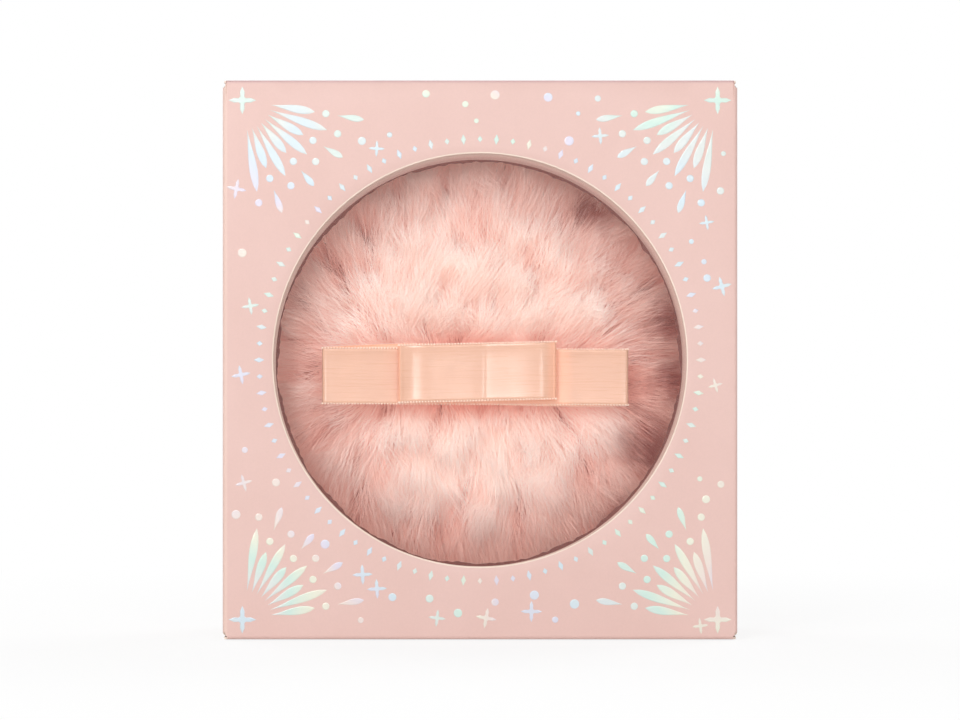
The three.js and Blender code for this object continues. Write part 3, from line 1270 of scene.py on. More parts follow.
@dataclass
class Closure:
    """One end of the carton: its lid, tuck tab and two dust flaps, with their creases."""

    end: End
    crease: float = 0.8 * MM
    board: float = 0.5 * MM
    crease_steps: int = 6
    columns: int = 12
    round_steps: int = 6
    front_gap: float = 0.9 * MM
    lid_nick: float = 0.7 * MM
    tab_round: float = 6.0 * MM
    tab_bow: float = 1.05 * MM
    flap_round: float = 3.0 * MM
    root: Pair = (-18.7 * MM, 21.2 * MM)
    tip: Pair = (-16.2 * MM, 4.2 * MM)
    lid_high: Vector = field(default_factory=lambda: high("top_lid"))
    tab_low: Vector = field(default_factory=lambda: low("top_tuck_tab"))
    flap_low: Vector = field(default_factory=lambda: low("top_dust_flap_right"))
    flap_high: Vector = field(default_factory=lambda: high("top_dust_flap_right"))
    back: float = field(default_factory=lambda: high("back_panel").y)
    top: float = field(default_factory=lambda: high("back_panel").z)

    def build(self) -> None:
        """Makes the closure's plates and the creases between them."""
        end = self.end.value
        lid, tab = f"{end}_lid", f"{end}_tab"
        crown = self.top - self.crease
        hinge = self.back - self.crease
        front = -hinge + self.front_gap
        self.plate(f"{end}_lid_board", lid, f"{end}_lid", self.lid_rows(hinge, front), (0, 0, 1))
        self.plate(f"{end}_tab_board", tab, f"{end}_tuck_tab", self.tab_rows(front, crown), (0, -1, 0))
        self.fold(f"{end}_lid_fold", "carton", lid, (hinge, crown), 0.0, self.lid_high.x - self.lid_nick)
        self.fold(f"{end}_tab_fold", lid, tab, (front, crown), 90.0, -self.tab_low.x)
        for side, name in ((-1, "left"), (1, "right")):
            body = f"{end}_flap_{name}"
            self.plate(f"{body}_board", body, f"{end}_dust_flap_{name}", self.flap_rows(side), (0, 0, 1))
            self.side_fold(f"{body}_fold", body, side)
        LOG.info("%s closure built", end)

    def placed(self, place: Iterable[float]) -> Point:
        """Turns a place of the top closure into the same place of this one.

        Args:
            place: A place of the top closure.

        Returns:
            The place of this one.
        """
        x, y, z = place
        return (x, y, z) if self.end is End.TOP else (x, -y, self.top - z)

    def boarded(self, part: MeshPart, outward: Point) -> bpy.types.Object:
        """Makes board of a skin whose printed face looks this way on the top closure.

        Args:
            part: The skin.
            outward: Which way its printed face looks.

        Returns:
            The board.
        """
        facing = Vector(self.placed(outward)) - Vector(self.placed((0, 0, 0)))
        made = part.build(FOLDED, outward=tuple(facing))
        finish_board(made, self.board)
        return made

    def plate(
        self, name: str, body: str, node: str, rows: list[list[Point]], outward: Point
    ) -> None:
        """Makes a plate of board from rows of places on its printed face.

        Args:
            name: The piece.
            body: The body that it rides.
            node: The node it replaces.
            rows: Its rows of places.
            outward: Which way its printed face looks.
        """
        part = MeshPart(name)
        part.skin([[part.point(self.placed(place)) for place in row] for row in rows])
        made = self.boarded(part, outward)
        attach(made, body)
        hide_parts(node)

    def across(self, first: float, last: float) -> list[float]:
        """Evenly spaced values from first to last, one a column."""
        return [first + (last - first) * step / self.columns for step in range(self.columns + 1)]

    def rounded(self, length: float, radius: float) -> list[Pair]:
        """Distances down a plate, each with how far its corners are cut in there.

        Args:
            length: Length of the plate.
            radius: Radius of its corners.

        Returns:
            Each distance with its cut.
        """
        stops = [(0.0, 0.0), ((length - radius) / 2, 0.0)]
        for step in range(self.round_steps + 1):
            angle = math.pi / 2 * step / self.round_steps
            stops.append((length - radius + radius * math.sin(angle), radius * (1 - math.cos(angle))))
        return stops

    def lid_rows(self, hinge: float, front: float) -> list[list[Point]]:
        """Rows of the lid, from its hinge to the crease of its tab.

        Args:
            hinge: Level of the hinge.
            front: Level of the tab's crease.

        Returns:
            The rows.
        """
        wide, top = self.lid_high.x, self.top
        stops = [(hinge, self.lid_nick), (hinge - self.lid_nick, 0.0), (0.0, 0.0), (front, 0.0)]
        return [[(x, y, top) for x in self.across(cut - wide, wide - cut)] for y, cut in stops]

    def tab_rows(self, front: float, crown: float) -> list[list[Point]]:
        """Rows of the tuck tab, which bows back into the carton.

        Args:
            front: Level of the crease.
            crown: Height of the crease.

        Returns:
            The rows.
        """
        wide = -self.tab_low.x
        length = crown - self.tab_low.z
        rows = []
        for down, cut in self.rounded(length, self.tab_round):
            y = front - self.crease + self.tab_bow * (down / length) ** 2
            rows.append([(x, y, crown - down) for x in self.across(cut - wide, wide - cut)])
        return rows

    def flap_rows(self, side: int) -> list[list[Point]]:
        """Rows of a dust flap, from its hinge to its tip.

        Args:
            side: -1 for the left flap, 1 for the right.

        Returns:
            The rows.
        """
        hinge = self.flap_high.x
        length = hinge - self.flap_low.x
        rows = []
        for inward, cut in self.rounded(length, self.flap_round):
            share = inward / length
            first, last = (root + (tip - root) * share for root, tip in zip(self.root, self.tip))
            columns = self.across(first + cut, last - cut)
            rows.append([(side * (hinge - inward), y, self.flap_high.z) for y in columns])
        return rows

    def fold(self, name: str, first: str, second: str, centre: Pair, start: float, wide: float) -> None:
        """Makes a crease that runs across the carton.

        Args:
            name: The piece.
            first: The body that it starts on.
            second: The body it ends on.
            centre: Y and Z that it bends round.
            start: Angle of its first row.
            wide: Half its width.
        """
        middle = math.radians(start + 45)
        self.crease_piece(
            name, first, second, (0.0, math.cos(middle), math.sin(middle)), start,
            self.across(-wide, wide), lambda x, out, up: (x, centre[0] + out, centre[1] + up))

    def side_fold(self, name: str, body: str, side: int) -> None:
        """Makes the crease of a dust flap, along the side panel's end.

        Args:
            name: The piece.
            body: The flap's body.
            side: -1 left, 1 right.
        """
        hinge, level = self.flap_high.x, self.flap_high.z - self.crease
        self.crease_piece(
            name, "carton", body, (side, 0.0, 1.0), 0.0,
            self.across(*self.root), lambda y, out, up: (side * (hinge + out), y, level + up))

    def crease_piece(
        self, name: str, first: str, second: str, outward: Point, start: float,
        columns: list[float], place: Callable[[float, float, float], Point],
    ) -> None:
        """Makes a crease, bent a quarter round, between the two bodies it joins.

        Args:
            name: The piece.
            first: Not used.
            second: Not used.
            outward: Which way its printed face looks.
            start: Angle of its first row.
            columns: Places along the crease.
            place: Turns one of these, and a row's way out and up, into a point.
        """
        part = MeshPart(name)
        rows = []
        for step in range(self.crease_steps + 1):
            angle = math.radians(start + 90 * step / self.crease_steps)
            out, up = self.crease * math.cos(angle), self.crease * math.sin(angle)
            rows.append([part.point(self.placed(place(along, out, up))) for along in columns])
        part.skin(rows)
        made = self.boarded(part, outward)
        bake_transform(made)


@dataclass
class Puff:
    """The plush puff: a stuffed body in a knit backing, and the pile that stands on it."""

    body_radius: float = 45.5 * MM
    front_crown: float = 8.2 * MM
    back_crown: float = 9.5 * MM
    dimple: float = 1.2 * MM
    rings: int = 22
    sides: int = 96
    seam_y: float = 1.5 * MM
    pucker: float = 0.012
    stuffing_frames: int = 20
    stuffing_limit: float = 2.5 * MM
    stuffing_pressure: float = 4.0
    stitch_reach: float = 3 * MM
    seam_reach: float = 1.2 * MM
    pieces_front: int = 8
    pieces_back: int = 2
    pile_length: float = 13.0 * MM
    pile_seed: int = 7
    density_cap: float = 9e7
    lock_scale: float = 290.0
    lock_stray: float = 1.2
    partings: tuple[Point, ...] = (
        (24.0 * MM, 96.0 * MM, 5.0 * MM), (36.0 * MM, 47.0 * MM, 7.5 * MM),
        (39.0 * MM, 70.0 * MM, 5.5 * MM), (30.0 * MM, 37.0 * MM, 5.0 * MM),
        (-38.0 * MM, 76.0 * MM, 4.5 * MM),
    )
    lean: float = 1.15
    bend: float = 0.5
    strand_steps: int = 4
    front_limit: float = -20.4 * MM
    back_limit: float = 21.4 * MM
    side_limit: float = 57.6 * MM
    bottom_limit: float = 1.7 * MM
    top_limit: float = 124.6 * MM
    tab_reach: float = 11.3 * MM
    bow_drop: float = 0.94 * MM
    bow_cover: float = -4.8 * MM
    comb_line: float = 22 * MM
    centre: Vector = field(default_factory=lambda: (low("puff_back_plush") + high("puff_back_plush")) / 2)

    @property
    def bow(self) -> Point:
        """Middle of the bow, as it lies in the scene."""
        middle = (low("ribbon_long_loop") + high("ribbon_long_loop")) / 2
        return tuple(middle - Vector((0.0, 0.0, self.bow_drop)))

    def build(self) -> None:
        """Makes the body and its pile."""
        body = self.body()
        self.stuff(body)
        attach(body, "puff")
        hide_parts("puff_filling")
        strand = self.strand()
        tree = self.pile_tree()
        front, back = self.half(body, -1), self.half(body, 1)
        for source, node, count, spacing, stem in (
            (front, "puff_front_plush", self.pieces_front, 0.27 * MM, 0.062 * MM),
            (back, "puff_back_plush", self.pieces_back, 0.62 * MM, 0.16 * MM),
        ):
            for number in range(count):
                made = placed(f"{node}_pile_{number + 1}", source.data.copy())
                tree.apply(
                    made, Strand=strand, Spacing=spacing, Stem=stem, Parts=count, Part=number,
                    Length=self.pile_length, Finish=PILE.material(), Seed=self.pile_seed,
                )
                for helper in ("root", "up", "comb", "clump", "long"):
                    made.data.attributes.remove(made.data.attributes[helper])
                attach(made, "puff")
                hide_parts(node)
                LOG.info("%s: %d faces", made.name, len(made.data.polygons))
            bpy.data.objects.remove(source)
        bpy.data.objects.remove(strand)
        dress("puff_seam_thread", THREAD)
        dress("ribbon_tack_thread", THREAD)

    def level(self, share: float, side: int) -> float:
        """Level of the body's front (-1) or back (1) at a share of its radius.

        Args:
            share: Share of the radius.
            side: -1 for the front, 1 for the back.

        Returns:
            The level.
        """
        crown = self.front_crown if side < 0 else self.back_crown
        dome = crown * (1 - share ** 2.6) ** 0.62
        return self.seam_y + side * (dome - self.dimple * math.exp(-((share / 0.16) ** 2)))

    def body(self) -> bpy.types.Object:
        """Builds the stuffed double disc, closed at the seam.

        Returns:
            The body, not yet stuffed.
        """
        part = MeshPart("puff_body")
        x, _, z = self.centre
        shares = [index / self.rings for index in range(1, self.rings + 1)]
        rows = []
        for side, share in [(-1, each) for each in shares] + [(1, each) for each in shares[-2::-1]]:
            out = math.sin(share * math.pi / 2)
            level = self.level(min(out, 1.0), side)
            ring = []
            for step in range(self.sides):
                angle = 2 * math.pi * step / self.sides
                pucker = 1 + self.pucker * math.sin(angle * 24) * out ** 6
                ring.append(part.point(around((x, level, z), self.body_radius * out * pucker, angle)))
            rows.append(ring)
        part.skin(rows, closed=True)
        for ring, side in ((rows[0], -1), (rows[-1], 1)):
            part.fan(ring, (x, self.level(0.0, side), z))
        return part.build([BACKING], smooth=True)

    def stuff(self, body: bpy.types.Object) -> None:
        """Blows the body up against its seam and its middle stitch, as wadding does.

        Args:
            body: The body, whose mesh is changed.
        """
        start = [vertex.co.copy() for vertex in body.data.vertices]
        stitched = body.vertex_groups.new(name="stitched")
        for vertex in body.data.vertices:
            reach = math.dist((vertex.co.x, vertex.co.z), (self.centre.x, self.centre.z))
            if reach < self.stitch_reach or reach > self.body_radius - self.seam_reach:
                stitched.add([vertex.index], 1.0, "REPLACE")
        cloth = body.modifiers.new("stuffing", "CLOTH")
        cloth.settings.vertex_group_mass = stitched.name
        cloth.settings.use_pressure = True
        cloth.settings.uniform_pressure_force = self.stuffing_pressure
        cloth.settings.effector_weights.gravity = 0.0
        cloth.point_cache.frame_start = 1
        cloth.point_cache.frame_end = self.stuffing_frames
        for number in range(1, self.stuffing_frames + 1):
            bpy.context.scene.frame_set(number)
        settle(body)
        bpy.context.scene.frame_set(1)
        for vertex, before in zip(body.data.vertices, start):
            moved = vertex.co - before
            if moved.length > self.stuffing_limit:
                vertex.co = before + moved * (self.stuffing_limit / moved.length)
        smooth = body.modifiers.new("smooth", "SUBSURF")
        smooth.levels = 1
        settle(body)

    def half(self, body: bpy.types.Object, side: int) -> bpy.types.Object:
        """Copies the body's front (-1) or back (1) half, as the ground the pile grows from.

        Args:
            body: The stuffed body.
            side: Which half.

        Returns:
            The ground, outside the scene.
        """
        mesh = bpy.data.meshes.new("ground")
        with edited(body.data, mesh) as work:
            away = [f for f in work.faces if (f.calc_center_median().y - self.seam_y) * side < 0]
            bmesh.ops.delete(work, geom=away, context="FACES")
        return bpy.data.objects.new("ground", mesh)

    def strand(self) -> bpy.types.Object:
        """Builds one straight fibre, a metre long and a metre thick at the root, to be scaled.

        Returns:
            The fibre.
        """
        part = MeshPart("strand")
        along: list[float] = []
        rows = []
        for share in (step / self.strand_steps for step in range(self.strand_steps)):
            radius = 1.0 - 0.55 * share
            turns = (2 * math.pi * corner / 3 for corner in range(3))
            rows.append([part.point((radius * math.cos(t), radius * math.sin(t), share)) for t in turns])
            along += [share] * 3
        part.skin(rows, closed=True)
        part.face(tuple(reversed(rows[0])))
        part.fan(rows[-1], (0.0, 0.0, 1.0))
        made = part.build([PILE], smooth=True)
        made.data.attributes.new("along", "FLOAT", "POINT").data.foreach_set("value", [*along, 1.0])
        return made

    def pile_tree(self) -> NodeGroup:
        """Builds the tree that plants, combs, clumps and trims the pile.

        Returns:
            The tree.
        """
        g = NodeGroup(
            "pile", Strand="Object", Spacing="Float", Stem="Float", Length="Float", Parts="Int",
            Part="Int", Seed="Int", Finish="Material")
        seed = g.input("Seed")
        planted = g.add("GeometryNodeDistributePointsOnFaces", {
            "Mesh": g.input("Geometry"), "Distance Min": g.input("Spacing"),
            "Density Max": self.density_cap, "Density Factor": 1.0, "Seed": seed,
        }, distribute_method="POISSON")
        points, normal = (Value(g, planted.outputs[name]) for name in ("Points", "Normal"))
        place = g.get("GeometryNodeInputPosition")
        turn = g.operate("MODULO", g.get("GeometryNodeInputIndex"), g.input("Parts"))
        other = g.get(
            "FunctionNodeCompare", {0: turn, 1: g.input("Part")}, data_type="FLOAT", operation="NOT_EQUAL")
        drop = g.get("FunctionNodeBooleanMath", {0: other, 1: self.under_bow(place)}, operation="OR")
        points = g.get("GeometryNodeDeleteGeometry", {"Geometry": points, "Selection": drop}, domain="POINT")

        bent = g.stray(place, 300, 2, 0.5) * (3 * MM)
        cell = g.add("ShaderNodeTexVoronoi", {
            "Vector": place + bent, "Scale": self.lock_scale, "Randomness": 1.0,
        })
        mood, clump = (Value(g, cell.outputs[name]) for name in ("Color", "Position"))
        opening = self.opening(g, place)
        grown, toned, _ = mood.split()
        chance = g.random("FLOAT", 0.8, 1.06, seed)
        valley = g.noise(place, 62, 2, 0.5).to((0.36, 0.56), (0.86, 1.0)) * opening.most(0.25)
        reach = chance * valley * (grown.to(UP, (0.8, 1.1)) * g.input("Length"))
        tone = g.noise(place, 420, 2, 0.6).to((0.3, 0.7), (0.2, 0.5))
        stored = {
            "root": place, "up": normal,
            "comb": self.combed(g, place) + (mood - MID_GREY) * self.lock_stray,
            "clump": clump, "opened": opening, "long": reach,
            "lock": tone + toned * 0.2 + g.random("FLOAT", 0.0, 0.25, 3),
        }
        for name, value in stored.items():
            points = g.store(points, name, value)

        lean = (g.read("up") + g.read("comb") * self.lean).unit()
        aim = lean + g.random("FLOAT_VECTOR", (-0.3, -0.3, -0.3), (0.3, 0.3, 0.3), seed)
        turned = g.get("FunctionNodeAlignRotationToVector", {"Vector": aim}, axis="Z")
        stem = g.input("Stem")
        standing = g.stamp(points, "Strand", turned, g.joined(stem, stem, g.read("long", "FLOAT")))
        real = g.get("GeometryNodeRealizeInstances", {"Geometry": standing})
        g.close(self.styled(g, real, place))
        return g

    def opening(self, g: NodeGroup, place: Value) -> Value:
        """How closed the pile is: one everywhere but in the front's partings.

        Args:
            g: The graph to be filled.
            place: The fibres' own position.

        Returns:
            The share that stays of a fibre's length.
        """
        frayed = place + g.stray(place, 210, 2, 0.6) * (9 * MM)
        opening = 1.0
        for x, z, radius in self.partings:
            opening = opening * frayed.off_axis((x, 0.0, z)).to((0.2 * radius, radius), (0.2, 1.0))
        return opening.most(1.0 - self.in_front(place))

    def bow_gap(self, place: Value) -> Value:
        """Distance outside the bow's outline in the plane of the window, below zero inside it.

        Args:
            place: The fibres' own position.

        Returns:
            The distance.
        """
        size = high("ribbon_long_loop") - low("ribbon_long_loop")
        x, _, z = abs(place - self.bow).split()
        return (x - size.x / 2).most(z - (size.z / 2 + 0.2 * MM))

    def under_bow(self, place: Value) -> Value:
        """True for a root that the bow covers."""
        return self.bow_gap(place).below(self.bow_cover) * self.in_front(place)

    def combed(self, g: NodeGroup, place: Value) -> Value:
        """The way the pile is combed: away from the nearest point of the bow's middle line.

        Args:
            g: The graph to be filled.
            place: The fibres' own position.

        Returns:
            The way, at most one long.
        """
        x, _, z = (place - self.bow).split()
        front = self.in_front(place)
        flat = g.joined(x - x.within(-self.comb_line, self.comb_line) * (front * 0.9), 0.0, z)
        combed = (flat.unit() + g.stray(place, 75, 2, 0.5) * 1.1).unit()
        return combed * flat.length().to((0.0, 30 * MM), (0.35, 1.0)).most(front)

    def in_front(self, place: Value) -> Value:
        """One for a root on the window's side of the seam, zero for one behind it."""
        return place.split()[1].below(self.seam_y)

    def styled(self, g: NodeGroup, geometry: Value, place: Value) -> Value:
        """Bends the fibres over, draws them into locks, waves them and keeps them in the carton.

        Args:
            g: The graph to be filled.
            geometry: The straight fibres.
            place: The fibres' own position.

        Returns:
            The styled fibres.
        """
        along, long = (g.read(name, "FLOAT") for name in ("along", "long"))
        root, comb, clump = (g.read(name) for name in ("root", "comb", "clump"))
        square = along ** 2.0
        bend = comb * (square * long * self.bend)
        sag = (0.0, 0.0, -1.0) * (square * long * 0.1)
        pull = (clump - root) * (along ** 1.4 * 0.56)
        wave = g.stray(clump + comb * (along * (7 * MM)), 260, 2, 0.5)
        frizz = g.stray(root + comb * (along * (5 * MM)), 900, 1, 0.5)
        total = bend + sag + pull + wave * (along ** 1.3 * (8.0 * MM)) + frizz * (along * (2.2 * MM))
        moved = g.get("GeometryNodeSetPosition", {"Geometry": geometry, "Offset": total})
        return self.trimmed(g, moved, place)

    def trimmed(self, g: NodeGroup, geometry: Value, place: Value) -> Value:
        """Presses the fibres back behind the bow, the window, the tuck tabs and the walls.

        Args:
            g: The graph to be filled.
            geometry: The styled fibres.
            place: The fibres' own position.

        Returns:
            The fibres within their limits.
        """
        x, y, z = place.split()
        bow_back = high("ribbon_long_loop").y + 0.35 * MM
        front = self.bow_gap(place).to((0.1 * MM, 3.5 * MM), (bow_back, self.front_limit))
        front = front.most(z.to((110 * MM, 118 * MM), (self.front_limit, -self.tab_reach)))
        back = z.to((9 * MM, 20 * MM), (self.tab_reach, self.back_limit))
        target = g.joined(
            x.within(-self.side_limit, self.side_limit), y.most(front).least(back),
            z.within(self.bottom_limit, self.top_limit))
        return g.get("GeometryNodeSetPosition", {"Geometry": geometry, "Position": target})


@dataclass
class Loop:
    """A flattened loop of ribbon, closed on itself and sewn down in the middle."""

    name: str
    node: str
    half: float
    front: tuple[Pair, ...]
    back: float
    width: float
    tilt: float
    shift: Pair
    slip: float = 0.0
    end_through_light: tuple[Pair, ...] = ()
    covered: Pair | None = None
    back_through_light: float = 0.75
    covered_through_light: float = 0.55
    pitch: float = 0.68 * MM
    bead: Point = (0.4 * MM, 0.55 * MM, 0.5 * MM)
    steps: int = 120
    strips: int = 18
    thickness: float = 0.22 * MM
    curl: float = 0.28 * MM

    def build(self) -> None:
        """Makes the loop and hides the CAD node it stands for."""
        middle = (low(self.node) + high(self.node)) / 2 + Vector((self.shift[0], 0.0, self.shift[1]))
        part = MeshPart(self.name)
        places = self.outline()
        uvs: list[Pair] = []
        rows = []
        through_light_shares: list[float] = []
        run = 0.0
        previous = places[-1]
        for x, y, side in places:
            run += math.dist((x, y), previous[:2])
            previous = (x, y, side)
            row = []
            for strip in range(self.strips + 1):
                share = strip / self.strips - 0.5
                lift = self.cupping(share) * side
                slip = self.slipped(x / self.half) if side > 0 else 0.0
                z = share * self.width + self.tilt * x + slip
                row.append(part.point((middle.x + x, middle.y + y + lift, middle.z + z)))
                uvs.append((run, share * self.width))
                through_light_shares.append(self.through_light_share(x / self.half, side))
            rows.append(row)
        part.skin([*rows, rows[0]])
        made = part.build([SATIN], smooth=True)
        layer = made.data.uv_layers.new(name="flat")
        for loop in made.data.loops:
            layer.data[loop.index].uv = uvs[loop.vertex_index]
        made.data.attributes.new("turned", "FLOAT", "POINT").data.foreach_set("value", through_light_shares)
        thicken(made, self.thickness)
        made.data.shade_smooth()
        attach(made, "puff")
        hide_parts(self.node)
        self.picots([[part.points[row[column]] for row in rows] for column in (0, -1)])
        LOG.info("%s: %.0f mm of ribbon", self.name, run / MM)

    def through_light_share(self, share: float, side: int) -> float:
        """How far the colour goes to a painted tone and glow of light through the satin: on the back layer,
        at the short loop's ends, and on the long loop under the short one, in place of its shade.

        Args:
            share: Place along the loop, from -1 to 1.
            side: -1 front layer, 1 back layer.

        Returns:
            The share of the painted tone and glow.
        """
        tone = self.back_through_light if side > 0 else 0.0
        for start, depth in self.end_through_light:
            reach = (share - start) / (math.copysign(1.0, start) - start)
            tone = max(tone, depth * min(max(reach * 1.6, 0.0), 1.0))
        # under the short loop a painted glow stands in place of its shade
        if self.covered:
            inside = min(share - self.covered[0], self.covered[1] - share) / 0.07
            tone = max(tone, self.covered_through_light * min(max(inside, 0.0), 1.0))
        return tone

    def slipped(self, share: float) -> float:
        """How far the back layer has slipped up from under the front one, none at the folds.

        Args:
            share: Place along the loop, from -1 to 1.

        Returns:
            The distance upwards.
        """
        hump = 0.6 * math.exp(-(((share + 0.35) / 0.35) ** 2))
        return self.slip * (1 - share ** 4) * (hump + 0.15 - 0.8 * share)

    def picots(self, selvedges: list[list[Point]]) -> None:
        """Sets a bead of turned yarn every pitch along both selvedges.

        Args:
            selvedges: The points of each selvedge, in order.
        """
        places = []
        for edge in selvedges:
            ring = [Vector(place) for place in edge]
            left = 0.0
            for first, last in zip(ring, [*ring[1:], ring[0]]):
                span = (last - first).length
                while left < span:
                    places.append(first.lerp(last, left / span))
                    left += self.pitch
                left -= span
        made = point_cloud(f"{self.name}_picots", places, size=[self.bead] * len(places))
        bead = self.bead_shape()
        stamping_tree().apply(made, Motif=bead, Finish=PICOT.material())
        bpy.data.objects.remove(bead)
        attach(made, "puff")

    @staticmethod
    def bead_shape() -> bpy.types.Object:
        """Builds a round bead a metre across.

        Returns:
            The bead.
        """
        mesh = bpy.data.meshes.new("bead")
        with edited(mesh) as work:
            bmesh.ops.create_icosphere(work, subdivisions=1, radius=0.5)
        mesh.shade_smooth()
        return placed("bead", mesh)

    def cupping(self, share: float) -> float:
        """How far the ribbon's edges curl back, across its width."""
        return self.curl * (2 * share) ** 4

    def outline(self) -> list[tuple[float, float, int]]:
        """Places round the loop, with -1 on its front layer and 1 on its back layer.

        Returns:
            X, Y and layer of each place.
        """
        places = []
        for step in range(2 * self.steps):
            share = math.cos(math.pi * step / self.steps)
            side = -1 if step < self.steps else 1
            deep = self.rise(share) if side < 0 else self.rise_back(share)
            places.append((share * self.half, side * deep, side))
        return places

    def rise(self, share: float) -> float:
        """How far the front layer stands out at a share of the half length, through its stations.

        Args:
            share: Place along the loop, from -1 to 1.

        Returns:
            The distance forwards.
        """
        stops = self.front
        for index in range(len(stops) - 1):
            if share <= stops[index + 1][0]:
                break
        before, first = stops[max(index - 1, 0)], stops[index]
        last, after = stops[index + 1], stops[min(index + 2, len(stops) - 1)]
        width = last[0] - first[0]
        run = min(max((share - first[0]) / width, 0.0), 1.0)
        if abs(first[0]) == 1:
            return last[1] * (1 - (1 - run) ** 2) ** 0.5
        if abs(last[0]) == 1:
            return first[1] * (1 - run ** 2) ** 0.5
        slope_first = (last[1] - before[1]) / max(last[0] - before[0], TINY) * width
        slope_last = (after[1] - first[1]) / max(after[0] - first[0], TINY) * width
        square, cube = run ** 2, run ** 3
        return (
            first[1] * (2 * cube - 3 * square + 1) + slope_first * (cube - 2 * square + run)
            + last[1] * (3 * square - 2 * cube) + slope_last * (cube - square)
        )

    def rise_back(self, share: float) -> float:
        """How far the back layer stands back."""
        return self.back * (1 - abs(share) ** 12) ** 0.5


@dataclass
class Bow:
    """The flat ribbon bow: a long loop and a short loop over its middle."""

    long_rise: tuple[Pair, ...] = (
        (-1.0, 0.0), (-0.992, 0.92 * MM), (-0.95, 1.06 * MM), (-0.85, 0.95 * MM), (-0.6, 0.55 * MM),
        (-0.4, 0.3 * MM), (0.0, 0.2 * MM), (0.4, 0.3 * MM), (0.65, 0.6 * MM), (0.85, 0.95 * MM),
        (0.95, 1.08 * MM), (0.992, 0.94 * MM), (1.0, 0.0),
    )
    short_rise: tuple[Pair, ...] = (
        (-1.0, 0.0), (-0.96, 0.75 * MM), (-0.9, 1.15 * MM), (-0.8, 1.55 * MM), (-0.66, 1.75 * MM),
        (-0.45, 1.5 * MM), (-0.06, 0.95 * MM), (0.08, 0.84 * MM), (0.107, 0.74 * MM),
        (0.135, 0.86 * MM), (0.4, 1.35 * MM), (0.65, 1.8 * MM), (0.8, 1.85 * MM), (0.9, 1.45 * MM),
        (0.96, 0.85 * MM), (1.0, 0.0),
    )

    def build(self) -> None:
        """Makes both loops."""
        Loop(
            "long_ribbon_loop", "ribbon_long_loop", half=35.0 * MM, front=self.long_rise,
            back=0.8 * MM, width=12.7 * MM, tilt=-0.005, shift=(0.0, -0.94 * MM), slip=1.0 * MM,
            covered=(-0.52, 0.64),
        ).build()
        Loop(
            "short_ribbon_loop", "ribbon_short_loop", half=18.0 * MM, front=self.short_rise,
            back=0.85 * MM, width=13.0 * MM, tilt=0.023, shift=(1.0 * MM, -0.81 * MM),
            end_through_light=((-0.965, 0.5), (0.86, 0.42)),
        ).build()


@dataclass
class Motif:
    """A small shape that is stamped many times: its outline, and its stamps on the front."""

    name: str
    outline: list[Pair]
    inset: float = 0.82
    stamps: list[tuple[float, ...]] = field(default_factory=list)

    def stamp(self, x: float, z: float, turn: float, wide: float, tall: float) -> None:
        """Adds one place, with its turn clockwise from upright and its size."""
        self.stamps.append((x, z, turn, wide, tall))


